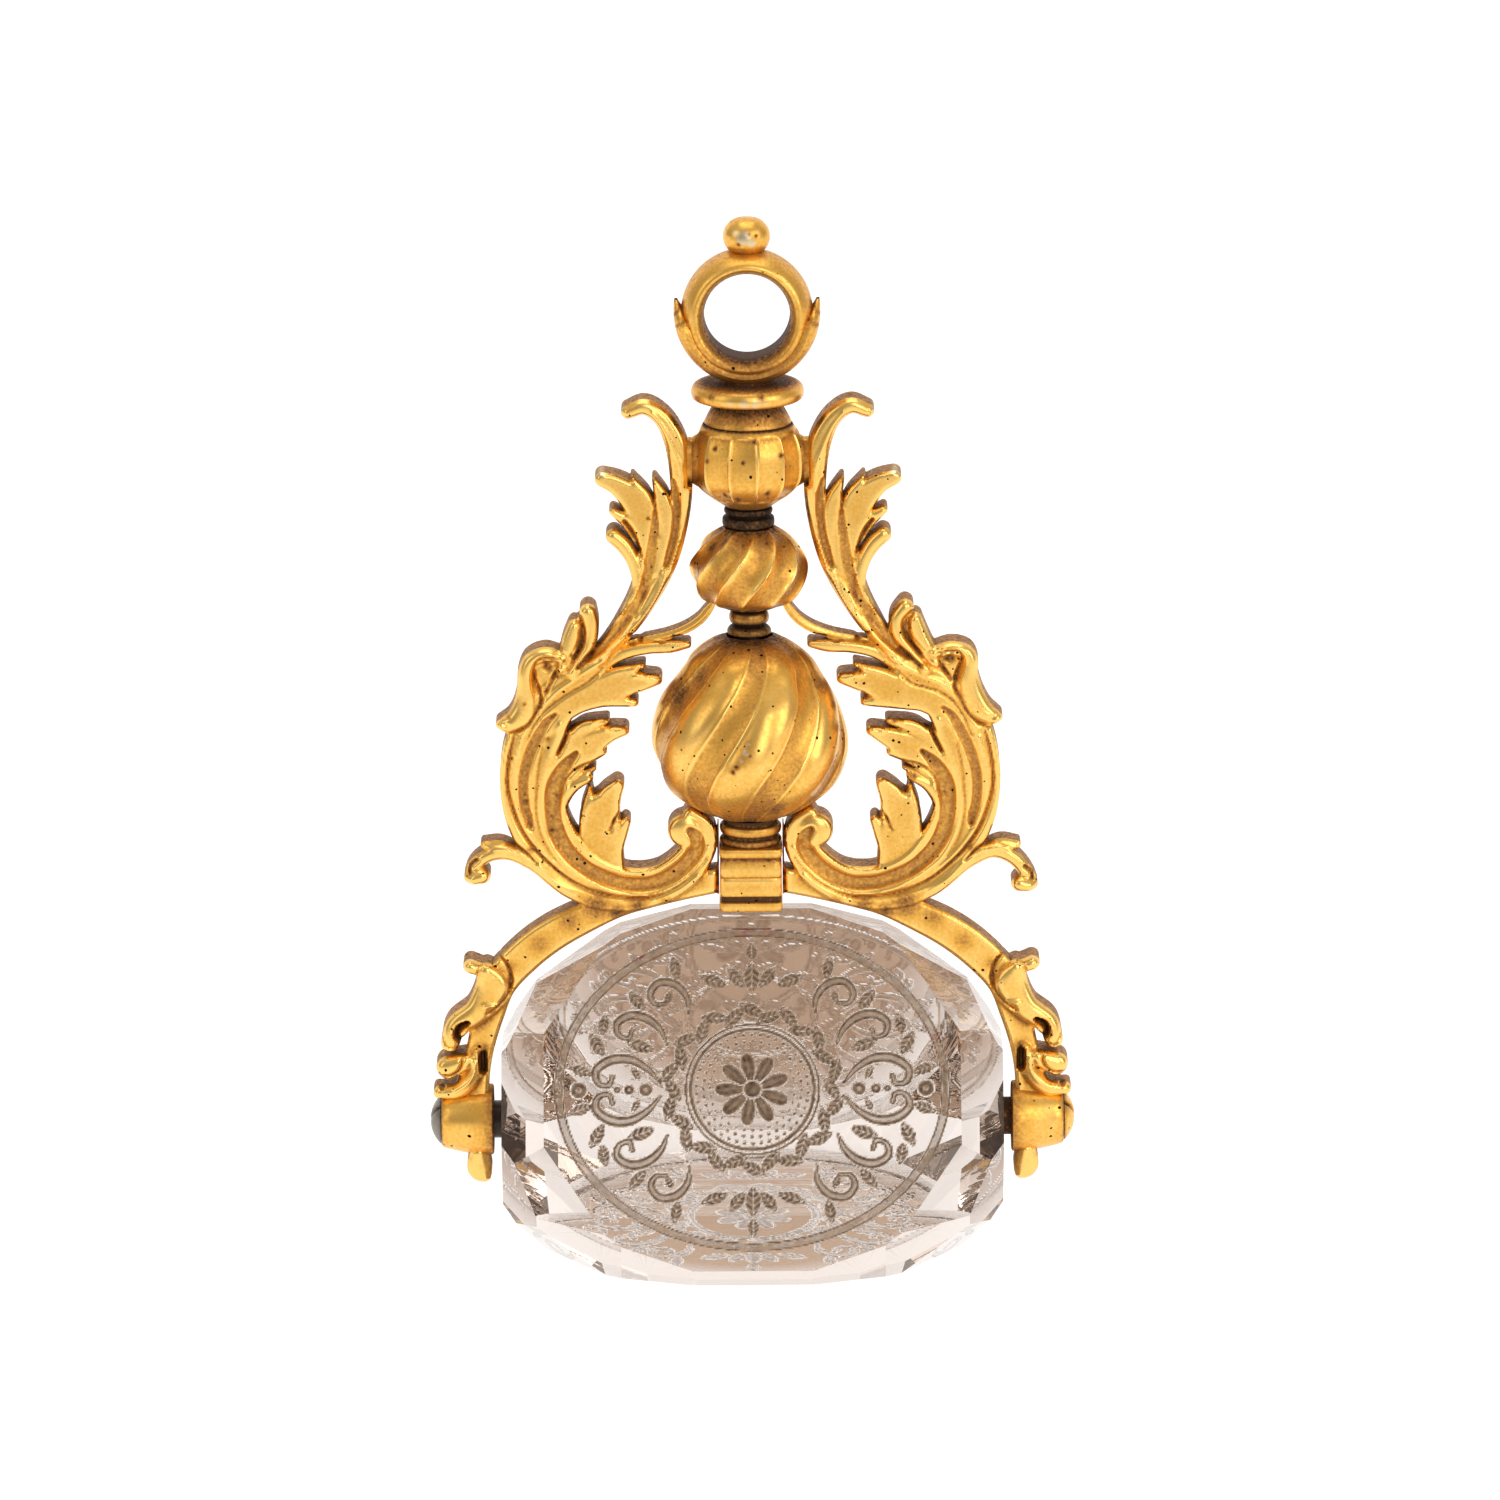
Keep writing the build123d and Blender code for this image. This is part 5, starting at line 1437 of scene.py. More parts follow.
@dataclass
class Stem:
    """The stem's strung pieces, from the block to the fluted bead.

    Args:
        block_bottom: Height of the block's foot.
        block_height: Height of the block.
        block_half: Half the block's side.
        pear: Foot and height of the pear, and its radius.
        lower_collar: Foot, height and radius.
        twisted: Foot, height and radius.
        upper_collar: Foot, height and radius.
        fluted: Foot, height and radius.
        pad: Reach and middle height of the soldered pads.
    """

    block_bottom: float = 20.54
    block_height: float = 3.85
    block_half: float = 1.83
    pear: Triple = (26.04, 11.2, 5.95)
    lower_collar: Triple = (37.29, 1.6, 1.25)
    twisted: Triple = (38.94, 4.95, 3.55)
    upper_collar: Triple = (43.94, 1.2, 1.56)
    fluted: Triple = (45.19, 5.05, 3.3)
    pad: Pair = (3.62, 47.97)

    def scaled(
        self, size: Triple, rows: Sequence[Triple]
    ) -> list[Triple]:
        """Scale rows of height, radius and tarnish, the first two in shares of a piece's size."""
        return [(level * size[1], share * size[2], brown) for level, share, brown in rows]

    def build(self, gilt: Material, dark: Material) -> None:
        """Make the stem's pieces.

        Args:
            gilt: The gilding.
            dark: The darkened gilding of the collars.
        """
        self.build_block(gilt)
        self.build_gadroons(gilt)
        self.build_collars(dark)
        self.build_fluted(gilt)

    def build_gadroons(self, gilt: Material) -> None:
        """Make the pear and the twisted bead.

        Args:
            gilt: The gilding.
        """
        # Darker toward the foot and the top; the dark foot is partly painted shade, partly tarnish.
        pear_rows = (
            (0, 0.26, 0.9), (0.02, 0.42, 0.7), (0.06, 0.57, 0.42), (0.17, 0.835, 0.16),
            (0.28, 0.955, 0.04), (0.41, 1.005, 0), (0.66, 0.9, 0), (0.8, 0.73, 0.04),
            (0.88, 0.62, 0.12), (0.97, 0.39, 0.45), (1, 0.24, 0.9),
        )
        # A rubbed patch and stains near the front; the marks at 50 to 68 degrees paint shade on both
        # flanks.
        pear_marks_and_shade = (
            (-1, 5.9, 0.34, 0.5, 0.5), (-3, 5.4, 0.42, 0.4, 0.6), (-5, 4.9, 0.4, 0.5, 0.5),
            (-8, 4.5, 0.26, 0.9, 0), (-10, 4.2, 0.22, 1, 0), (0, 5.2, 0.16, 0.9, 0),
            (-64, 8, 1.5, 0.8, 0), (-50, 9.2, 1.2, 0.6, 0), (66, 8.6, 1, 0.5, 0),
            (20, 1.4, 1, 0.7, 0), (-68, 3.6, 1.8, 0.5, 0), (60, 3.2, 1.4, 0.3, 0),
        )
        pear = TurnedPiece(
            "twisted_pear_gadroons", self.pear[0], self.scaled(self.pear, pear_rows),
            lobes=lambda degrees: pear_gadroons(degrees + 134), twist=70, marks=pear_marks_and_shade,
            around=420, rise=0.1,
        ).build(gilt)
        mount_piece(pear, "mount", "gilt", "twisted_pear")
        twisted_rows = (
            (0, 0.4, 0.7), (0.03, 0.5, 0.5), (0.14, 0.82, 0.15), (0.5, 1, 0),
            (0.82, 0.78, 0.12), (0.96, 0.54, 0.45), (1, 0.44, 0.7),
        )
        # Darker patches, mostly on the bead's left flank.
        twisted_marks = (
            (-58, 4, 0.7, 0.75, 0), (-40, 4.4, 0.5, 0.7, 0), (-70, 2.6, 0.5, 0.6, 0),
            (30, 4.4, 0.5, 0.6, 0), (-8, 4.3, 0.3, 0.6, 0),
        )
        twisted = TurnedPiece(
            "twisted_bead_gadroons", self.twisted[0], self.scaled(self.twisted, twisted_rows),
            lobes=lambda degrees: hollow_flutes(10, 0.105, 0.004)(degrees + 105), twist=62,
            marks=twisted_marks, around=320, rise=0.09,
        ).build(gilt)
        mount_piece(twisted, "mount", "gilt", "twisted_bead")

    def build_collars(self, dark: Material) -> None:
        """Make the two dark turned collars.

        Args:
            dark: The darkened gilding.
        """
        lower_rows = (
            (0, 0.94, 0.7), (0.05, 1.04, 0.4), (0.2, 1.04, 0.25), (0.32, 0.92, 0.5),
            (0.38, 0.76, 0.95), (0.43, 0.78, 0.9), (0.5, 0.9, 0.35), (0.68, 0.96, 0.05),
            (0.86, 0.9, 0.2), (0.95, 0.78, 0.7), (1, 0.7, 0.9),
        )
        lower = TurnedPiece(
            "lower_collar_rings", self.lower_collar[0], self.scaled(self.lower_collar, lower_rows),
            rise=0.05,
        ).build(dark)
        mount_piece(lower, "mount", "dark_gilt", "lower_collar")
        upper_rows = (
            (0, 0.84, 0.95), (0.06, 0.97, 0.75), (0.28, 1, 0.6), (0.48, 0.97, 0.75),
            (0.56, 0.84, 1), (0.64, 0.8, 1), (0.7, 0.9, 0.75), (0.84, 0.93, 0.65),
            (0.95, 0.9, 0.8), (1, 0.8, 1),
        )
        upper = TurnedPiece(
            "upper_collar_rings", self.upper_collar[0], self.scaled(self.upper_collar, upper_rows),
            rise=0.05,
        ).build(dark)
        mount_piece(upper, "mount", "dark_gilt", "upper_collar")

    def build_block(self, gilt: Material) -> None:
        """Make the square block with the turned collar on it.

        Args:
            gilt: The gilding.
        """
        half, height = self.block_half, self.block_height
        block_rows = [
            (0, half - 0.5, 0.6), (0, half + 0.02, 0.4), (0.04, half + 0.06, 0.15),
            (0.5, half + 0.05, 0.1), (0.56, half - 0.05, 0.5), (0.6, half - 0.13, 1),
            (0.86, half - 0.13, 1), (0.9, half - 0.03, 0.5), (0.98, half + 0.03, 0.1),
            (1.5, half + 0.02, 0.05), (2.05, half + 0.02, 0), (2.1, half - 0.02, 0.35),
            (2.16, half + 0.01, 0.1), (2.9, half, 0.1), (3.12, half - 0.06, 0.55),
            (3.2, half - 0.1, 0.75), (3.3, half - 0.02, 0.35), (3.38, half + 0.04, 0.1),
            (height - 0.08, half + 0.05, 0.05), (height, half - 0.02, 0.3), (height, 1.0, 0.6),
        ]
        shape = Shape()
        TurnedPiece("block", self.block_bottom, block_rows, square=True, around=128, rise=0.3).add_to(shape)
        # The collar's dark rings are painted shade beneath the pear, partly tarnish in its grooves.
        collar_rows = [
            (0, 1.6, 0.9), (0.02, 1.72, 0.7), (0.2, 1.84, 0.5), (0.38, 1.8, 0.6),
            (0.5, 1.58, 0.95), (0.62, 1.6, 0.9), (0.72, 1.78, 0.35), (0.98, 1.85, 0.15),
            (1.2, 1.8, 0.3), (1.32, 1.6, 0.9), (1.45, 1.62, 0.95), (1.6, 1.7, 1),
        ]
        TurnedPiece("collar", self.block_bottom + height, collar_rows, rise=0.05).add_to(shape)
        mount_piece(shape.build("base_block_mouldings", gilt), "mount", "gilt", "base_block")

    def build_fluted(self, gilt: Material) -> None:
        """Make the fluted bead with its soldered pads.

        Args:
            gilt: The gilding.
        """
        rows = (
            (0, 0.42, 0.8), (0.03, 0.48, 0.5), (0.14, 0.72, 0.2), (0.3, 0.95, 0.05),
            (0.4, 1, 0), (0.66, 1, 0), (0.8, 0.955, 0.05), (0.93, 0.87, 0.15),
            (0.975, 0.83, 0.3), (0.99, 0.815, 0.8), (1, 0.8, 0.9),
        )
        marks = (
            (-40, 4, 0.22, 1, 0), (-5, 3.3, 0.2, 1, 0), (-30, 1.15, 0.26, 1, 0),
            (-48, 3.2, 0.2, 0.9, 0), (24, 1.3, 0.3, 0.9, 0), (38, 3.6, 0.24, 1, 0),
            (-14, 0.9, 0.3, 0.8, 0), (8, 4.5, 0.25, 0.9, 0),
        )
        shape = Shape()
        TurnedPiece(
            "fluted", self.fluted[0], self.scaled(self.fluted, rows),
            lobes=lambda degrees: hollow_flutes(12, 0.05, 0.02)(degrees + 80),
            lobed=(0.1, 0.94), marks=marks, around=360, rise=0.08,
        ).add_to(shape)
        reach, middle = self.pad
        loops = (
            (2.8, 1.3, 1.7, 0.4), (3.1, 1, 1.55, 0.3), (3.35, 0.86, 1.4, 0.25), (reach, 0.95, 1.42, 0.2),
        )
        for side in (-1, 1):
            add_rings(shape, side, middle, 32, loops)
        mount_piece(shape.build("fluted_bead_flutes", gilt), "mount", "gilt", "fluted_bead")


@dataclass
class Bow:
    """The hanging ring in its calyx, with the ball, the flange and the neck.

    Args:
        neck_bottom: Height of the neck's foot.
        centre: Height of the ring's centre.
        hole: Radius of the hole.
        mouth: Radius where the ring's edge faces the viewer.
        outer: Outer radius.
        depth: Depth of the ring along Y.
        ball: Height of the ball's foot.
        calyx_depth: Depth of the calyx along Y.
        calyx_tip: Degrees above the ring's middle that a leaf of the calyx ends.
        leaf_start: Share of a half of the calyx at which its leaf starts.
    """

    neck_bottom: float = 50.29
    centre: float = 56.904
    hole: float = 2.56
    mouth: float = 3.04
    outer: float = 3.93
    depth: float = 3.8
    ball: float = 60.43
    calyx_depth: float = 3.4
    calyx_tip: float = 12.0
    leaf_start: float = 0.74

    def build(self, gilt: Material) -> None:
        """Make the bow.

        Args:
            gilt: The gilding.
        """
        shape = Shape()
        # The neck darkens up to the flange's underside: painted shade beneath the flange, partly tarnish.
        neck_rows = [
            (0, 1.2, 0.9), (0, 2.6, 0.6), (0.08, 2.59, 0.25), (0.4, 2.44, 0.35),
            (0.8, 2.22, 0.6), (1.14, 2, 0.75), (1.24, 1.98, 0.95), (1.3, 2.4, 0.85),
            (1.4, 3, 0.5), (1.52, 3.26, 0.2), (1.75, 3.36, 0), (2, 3.36, 0),
            (2.24, 3.26, 0.1), (2.42, 3.02, 0.4), (2.5, 2.6, 0.8), (2.5, 1.7, 0.95),
            (2.62, 1.55, 1), (3, 1.2, 0.8), (3.2, 0.3, 0.8),
        ]
        flange_marks = (
            (-18, 1.78, 0.5, 0, 0.5), (-4, 1.8, 0.6, 0, 0.62),
            (9, 1.8, 0.6, 0, 0.62), (20, 1.78, 0.5, 0, 0.5), (14, 2.2, 0.3, 0.8, 0),
            (-40, 2.1, 0.3, 0.7, 0), (-10, 0.7, 0.4, 0.5, 0),
        )
        TurnedPiece("neck", self.neck_bottom, neck_rows, marks=flange_marks, rise=0.08).add_to(shape)
        self.add_ring(shape)
        for side in (-1, 1):
            self.add_calyx(shape, side)
        ball_rows = [
            (0, 0.8, 0.9), (0.12, 0.86, 0.7), (0.3, 1.05, 0.3), (0.62, 1.28, 0.1),
            (1.1, 1.4, 0), (1.6, 1.31, 0), (2, 1, 0.05), (2.2, 0.66, 0.1), (2.3, 0.02, 0.1),
        ]
        ball_marks = (
            (-8, 1.3, 0.7, 0, 0.9), (12, 1, 0.5, 0, 0.8), (-30, 1.6, 0.4, 0, 0.6),
            (4, 1.5, 0.18, 1, 0), (-20, 0.9, 0.16, 1, 0), (24, 1.4, 0.15, 0.9, 0),
        )
        TurnedPiece("ball", self.ball, ball_rows, marks=ball_marks, rise=0.08).add_to(shape)
        mount_piece(shape.build("bow_ring_and_calyx", gilt), "mount", "gilt", "bow")

    def add_ring(self, shape: Shape) -> None:
        """Add the ring, turned about Y.

        Args:
            shape: The mesh.
        """
        half = self.depth / 2
        rows = smooth_path([
            (self.hole, -0.2 * half, 0.8), (self.hole + 0.01, -0.5 * half, 0.7),
            (self.hole + 0.12, -0.76 * half, 0.45), (self.mouth - 0.12, -0.95 * half, 0.1),
            (self.mouth + 0.06, -half, 0.0), (self.mouth + 0.3, -0.93 * half, 0.05),
            (self.outer - 0.22, -0.62 * half, 0.15), (self.outer - 0.03, -0.25 * half, 0.2),
            (self.outer, 0.0, 0.25), (self.outer - 0.03, 0.25 * half, 0.2),
            (self.outer - 0.22, 0.62 * half, 0.2), (self.mouth + 0.3, 0.93 * half, 0.15),
            (self.mouth + 0.06, half, 0.1), (self.mouth - 0.12, 0.95 * half, 0.3),
            (self.hole + 0.12, 0.76 * half, 0.6), (self.hole + 0.01, 0.5 * half, 0.8),
            (self.hole, 0.2 * half, 0.8), (self.hole, -0.2 * half, 0.8),
        ], 0.1)[:-1]
        angles = full_turn(144)
        points = np.stack([
            rows[:, 0][:, None] * np.sin(angles)[None, :],
            np.repeat(rows[:, 1][:, None], len(angles), axis=1),
            self.centre + rows[:, 0][:, None] * np.cos(angles)[None, :],
        ], axis=2).reshape(-1, 3)
        # Darker toward the bottom of the ring.
        low = np.clip(-np.cos(angles), 0, 1)[None, :] * 0.3
        faces = ring_faces(len(rows), len(angles))
        n, last = len(angles), (len(rows) - 1) * len(angles)
        faces += [[last + i, last + (i + 1) % n, (i + 1) % n, i] for i in range(n)]
        shape.add(points, faces, tarnish=(rows[:, 2][:, None] + low).ravel())

    def add_calyx(self, shape: Shape, side: int) -> None:
        """Add one half of the calyx, a crescent that ends in a leaf beside the ring.

        Args:
            shape: The mesh.
            side: -1 for the left half and 1 for the right one.
        """
        turns = full_turn(40)
        shares = np.linspace(0, 1, 64)
        points, brown = [], []
        for share in shares:
            angle = math.radians(-90 + (90 + self.calyx_tip) * share)
            tip = max(0.0, (share - self.leaf_start) / (1 - self.leaf_start))
            inner = self.mouth + 0.12 + (self.outer + 0.16 - self.mouth) * tip**1.4
            outer = self.outer + 0.28 + 0.26 * share**3 - 0.06 * tip
            half = self.calyx_depth / 2 * (1.04 - 0.9 * tip**2.2)
            middle, wide = (inner + outer) / 2, (outer - inner) / 2
            for t in turns:
                round_out = np.sign(math.cos(t)) * abs(math.cos(t)) ** 0.62
                round_deep = np.sign(math.sin(t)) * abs(math.sin(t)) ** 0.5
                slope = 1.0 - 0.22 * max(0.0, round_out)
                vein = 0.03 * math.sin((share * 44 + round_out * 1.6) * math.pi / 2) * (share > 0.8)
                radius = middle + wide * round_out
                points.append((
                    side * radius * math.cos(angle), (half * slope - vein) * round_deep,
                    self.centre + radius * math.sin(angle),
                ))
                # Darker toward the calyx's foot, on its veins and along its inner edge beside the ring.
                brown.append(0.3 * (1 - share) + 0.1 + 0.4 * (vein > 0.02) + 0.5 * (round_out < -0.8))
        faces = ring_faces(len(shares), len(turns), turned=side < 0)
        shape.add(np.array(points), faces, tarnish=np.array(brown))


@dataclass
class PivotScrew:
    """A slotted dome-headed screw and its pin.

    Args:
        side: -1 for the left screw and 1 for the right one.
        head_start: Where the head begins, along X.
        head_radius: Radius of the head.
        head_height: Height of the dome.
        dome_power: Power that shapes the dome.
        slot: Half width, depth and angle of the slot.
        slot_edge: Width of the slot's sloping edge.
        pin_start: Inner end of the pin.
        pin_radius: Radius of the pin.
        pin_tarnish: Tarnish of the pin.
        height: Height of the pivot.
    """

    side: int
    head_start: float = 18.85
    head_radius: float = 1.5
    head_height: float = 0.62
    dome_power: float = 2.4
    slot: Triple = (0.17, 0.28, 40.0)
    slot_edge: float = 0.08
    pin_start: float = 13.65
    pin_radius: float = 1.14
    pin_tarnish: float = 0.95
    height: float = 7.15

    def build(self, material: Material) -> Object:
        """Make the screw.

        Args:
            material: Its metal.

        Returns:
            The object.
        """
        half, deep, angle = self.slot
        turn = math.radians(angle)
        shares = np.concatenate([[0], np.linspace(0.04, 1, 34)])
        angles = full_turn(144)
        radius = self.head_radius * shares[:, None] * np.ones_like(angles)[None, :]
        y, z = radius * np.sin(angles), radius * np.cos(angles)
        dome = self.head_height * (1 - shares**self.dome_power)[:, None] * np.ones_like(angles)[None, :]
        across = abs(y * math.cos(turn) + z * math.sin(turn))
        cut = ease((half + self.slot_edge / 2 - across) / self.slot_edge)
        x = self.side * (self.head_start + np.maximum(dome - cut * deep, -0.02))
        points = np.stack([x, y, self.height + z], axis=2).reshape(-1, 3)
        shape = Shape()
        brown = cut * 0.9 + np.clip(shares - 0.85, 0, 1)[:, None] * 3
        shape.add(points, ring_faces(len(shares), len(angles), turned=self.side < 0), tarnish=brown.ravel())
        rows = (
            (self.head_start, self.head_radius), (self.head_start, self.pin_radius),
            (self.pin_start + 0.05, self.pin_radius), (self.pin_start, self.pin_radius - 0.06),
            (self.pin_start, 0.01),
        )
        add_rings(shape, self.side, self.height, 64, [(x, r, r, self.pin_tarnish) for x, r in rows])
        name = "left_pivot_screw" if self.side < 0 else "right_pivot_screw"
        return shape.build(f"{name}_slotted", material)


# Engraved sprays on a quarter of a table, in millimetres from its middle: lines of (along, across, half
# width), leaves as middle, degrees, half length and half width, and berries as (along, radius)
SPRAY_CURLS: tuple[Stroke, ...] = (
    ((5.5, 0.4, 0.1), (6.3, 1.3, 0.24), (7.4, 1.9, 0.34), (8.6, 1.8, 0.36), (9.4, 1.1, 0.3),
     (9.2, 0.4, 0.24), (8.6, 0.3, 0.2), (8.4, 0.8, 0.2)),
    ((5.1, 2.8, 0.1), (5.5, 3.7, 0.24), (6.3, 4.4, 0.34), (7.3, 4.6, 0.34), (8.1, 4.1, 0.28),
     (8, 3.4, 0.22), (7.4, 3.2, 0.2), (7.2, 3.7, 0.18)),
    ((3.8, 4.7, 0.1), (3.9, 5.7, 0.24), (4.6, 6.5, 0.32), (5.6, 6.6, 0.3), (6.1, 5.9, 0.26),
     (5.8, 5.3, 0.2), (5.2, 5.3, 0.18)),
)
SPRAY_LEAVES: tuple[Leaf, ...] = (
    ((6.7, 2.7), 20, (0.95, 0.42)), ((9.3, 2.8), 62, (0.9, 0.4)), ((6.9, 5.5), 50, (0.85, 0.38)),
    ((8.9, 4), 100, (0.75, 0.36)), ((4.6, 7.5), 80, (0.8, 0.36)), ((10.3, 1.2), 20, (0.8, 0.36)),
    ((7, 1), 60, (0.5, 0.24)), ((5, 5.7), 110, (0.5, 0.24)),
)
BERRIES = ((10.4, 0.55), (6.4, 0.45), (7.4, 0.34), (8.1, 0.24))

# Leaves of the sprig at the table's upper and lower edge
SPRIG_LEAVES: tuple[Leaf, ...] = (
    ((0, 6.9), 90, (1, 0.5)), ((0.95, 6.9), 52, (0.85, 0.4)), ((-0.95, 6.9), 128, (0.85, 0.4)),
    ((2.3, 6.7), 20, (0.95, 0.4)), ((-2.3, 6.7), 160, (0.95, 0.4)), ((0, 8.5), 90, (0.6, 0.36)),
)


@dataclass
class Engraving:
    """A botanical medallion cut into a table: depths and residue on a grid.

    Args:
        half_length: Half length of the border oval.
        half_height: Half height of the border oval.
        border: Width of the border groove.
        turn: Degrees that the wreath is turned, so that no two tables are the same.
        petals: Petals of the rosette.
        residue: How deep and stained the cuts are, as a share of the front table's.
        stippled: Whether the rosette's ground is stippled.
        depths: Depth of a full cut and of the border groove, in millimetres.
        groove_matt: How matt the groove is between its two lines.
        ground: Radius of the rosette's ground, and how matt it is.
        lines: Radius and half width of the two lines round the rosette's ground.
        dots: Inner and outer radius of the stippling, and the distance between its rows.
        heart: Radius at which the rosette's heart is deepest, and how far it reaches from there.
        petal: Radii at which a petal starts, has its shoulders and has its tip.
        wreath: Leaves of each row of the wreath.
        wreath_rows: Lean in degrees, radius, and offset as a share of a leaf of each row.
        wreath_leaf: Half length and half width of its leaves.
    """

    half_length: float = 11.85
    half_height: float = 9.95
    border: float = 0.5
    turn: float = 0.0
    petals: int = 9
    residue: float = 1.0
    stippled: bool = True
    depths: Pair = (0.09, 0.08)
    groove_matt: float = 0.46
    ground: Pair = (3.66, 0.13)
    lines: tuple[Pair, ...] = ((3.7, 0.13), (4.0, 0.08))
    dots: Triple = (2.5, 3.55, 0.42)
    heart: Pair = (0.12, 0.42)
    petal: Triple = (0.62, 1.15, 2.3)
    wreath: int = 14
    wreath_rows: tuple[Triple, ...] = ((34, 4.75, 0.0), (-28, 5.1, 0.5))
    wreath_leaf: Pair = (0.92, 0.4)

    def leaf(
        self, x: np.ndarray, y: np.ndarray, at: Pair, angle: float, size: Pair
    ) -> np.ndarray:
        """Measure a pointed leaf with a midrib.

        Args:
            x: Places along the table.
            y: Places across it.
            at: The leaf's middle.
            angle: Its direction in degrees.
            size: Half length and half width.

        Returns:
            Depth of the cut, from 0 to 1.
        """
        c, s = math.cos(math.radians(angle)), math.sin(math.radians(angle))
        u = ((x - at[0]) * c + (y - at[1]) * s) / size[0]
        v = (-(x - at[0]) * s + (y - at[1]) * c) / size[1]
        body = 1 - abs(u) ** 2 - abs(v)
        rib = ease((0.1 - abs(v)) / 0.07) * 0.5
        hatch = 0.26 * np.sin(u * 16 + abs(v) * 6) - 0.1
        return np.where(body > 0, ease(body / 0.16) * (0.86 + hatch - rib), 0)

    def curl(
        self, x: np.ndarray, y: np.ndarray, path: Sequence[Triple]
    ) -> np.ndarray:
        """Measure a curling stroke.

        Args:
            x: Places along the table.
            y: Places across it.
            path: Points and half widths along the stroke.

        Returns:
            Depth of the cut, from 0 to 1.
        """
        cut = np.full(x.shape, -1.0)
        line = smooth_path(path, 0.12)
        low, high = line[:, :2].min(0) - 0.8, line[:, :2].max(0) + 0.8
        near = (x > low[0]) & (x < high[0]) & (y > low[1]) & (y < high[1])
        near_x, near_y = x[near], y[near]
        found = np.full(near_x.shape, -1.0)
        for a, b, half in line:
            found = np.maximum(found, 1 - np.hypot(near_x - a, near_y - b) / half)
        cut[near] = found
        return ease(cut / 0.25) * (0.95 - 0.5 * ease((cut - 0.45) / 0.3))

    def spray(self, x: np.ndarray, y: np.ndarray, hand: int) -> np.ndarray:
        """Measure the spray of scrolls and leaves beside the medallion.

        Args:
            x: Places along the table.
            y: Places across it.
            hand: -1 for the left spray and 1 for the right one.

        Returns:
            Depth of the cut, from 0 to 1.
        """
        x = x * hand
        cuts = []
        for up in (-1, 1):
            cuts += [self.curl(x, y * up, path) for path in SPRAY_CURLS]
            cuts += [self.leaf(x, y * up, *leaf) for leaf in SPRAY_LEAVES]
        for along, radius in BERRIES:
            berry = 1 - np.hypot(x - along, y) / radius
            cuts.append(ease(berry / 0.3) * (0.95 - 0.5 * ease((berry - 0.5) / 0.3)))
        return np.maximum.reduce(cuts)

    def medallion(self, x: np.ndarray, y: np.ndarray) -> np.ndarray:
        """Measure the rosette on its stippled ground, and the wreath round it.

        Args:
            x: Places along the table.
            y: Places across it.

        Returns:
            Depth of the cut, from 0 to 1.
        """
        r, angle = np.hypot(x, y), np.degrees(np.arctan2(y, x)) + self.turn
        cut = np.zeros(x.shape)
        for radius, half in self.lines:
            cut = np.maximum(cut, ease((1 - abs(r - radius) / half) / 0.5) * 0.9)
        if self.stippled:
            low, high, pitch = self.dots
            row = np.round(r / pitch)
            count = np.maximum(np.round(row * 5.2), 1)
            phase = (angle / 360 * count + row * 0.37) % 1 - 0.5
            off = np.hypot((r - row * pitch) / 0.11, phase / count * 2 * np.pi * np.maximum(r, 0.1) / 0.14)
            cut = np.maximum(cut, np.where((r < high) & (r > low), ease((1 - off) / 0.5) * 0.9, 0))
        across = abs((angle * self.petals / 360) % 1 * 2 - 1)
        start, shoulder, tip = self.petal
        reach = shoulder + (tip - shoulder) * (1 - across**2.2)
        petal = ease((reach - r) / 0.14) * ease((0.9 - across) / 0.12)
        veins = 0.16 * np.sin(across * 9 + r * 3)
        cut = np.maximum(cut, np.where(r > start, petal * (0.86 + veins), 0))
        middle, wide = self.heart
        cut = np.maximum(cut, ease((wide - abs(r - middle)) / 0.1) * 0.95)
        for k in range(self.wreath):
            for lean, out, late in self.wreath_rows:
                a = math.radians((k + late) * 360 / self.wreath + self.turn)
                at = (out * math.cos(a), out * math.sin(a) * 0.96)
                cut = np.maximum(cut, self.leaf(x, y, at, math.degrees(a) + 90 + lean, self.wreath_leaf))
        return cut

    def depth(self, x: np.ndarray, y: np.ndarray) -> tuple[np.ndarray, np.ndarray]:
        """Work out the cut and its residue.

        Args:
            x: Places along the table.
            y: Places across it.

        Returns:
            Depth of the cut in millimetres, and how matt it is.
        """
        cuts = [self.medallion(x, y)]
        for hand in (-1, 1):
            cuts.append(self.spray(x, y, hand))
            cuts += [self.leaf(x, y * hand, *leaf) for leaf in SPRIG_LEAVES]
        cut = np.maximum.reduce(cuts)
        middle_x, middle_y = self.half_length - self.border / 2, self.half_height - self.border / 2
        norm = np.hypot(x / middle_x, y / middle_y)
        gradient = np.hypot(x / middle_x**2, y / middle_y**2) / np.maximum(norm, 1e-6)
        off = abs(norm - 1) / np.maximum(gradient, 1e-6)
        groove = ease((self.border / 2 - off) / 0.08)
        lines = ease((0.06 - abs(off - self.border / 2 + 0.02)) / 0.04)
        reach, matt = self.ground
        ground = np.where(np.hypot(x, y) < reach, matt, 0.0)
        frost = np.maximum.reduce([cut, ground, self.groove_matt * groove, lines])
        cut_depth, groove_depth = self.depths
        return (cut_depth * cut + groove_depth * groove) * self.residue, frost * self.residue


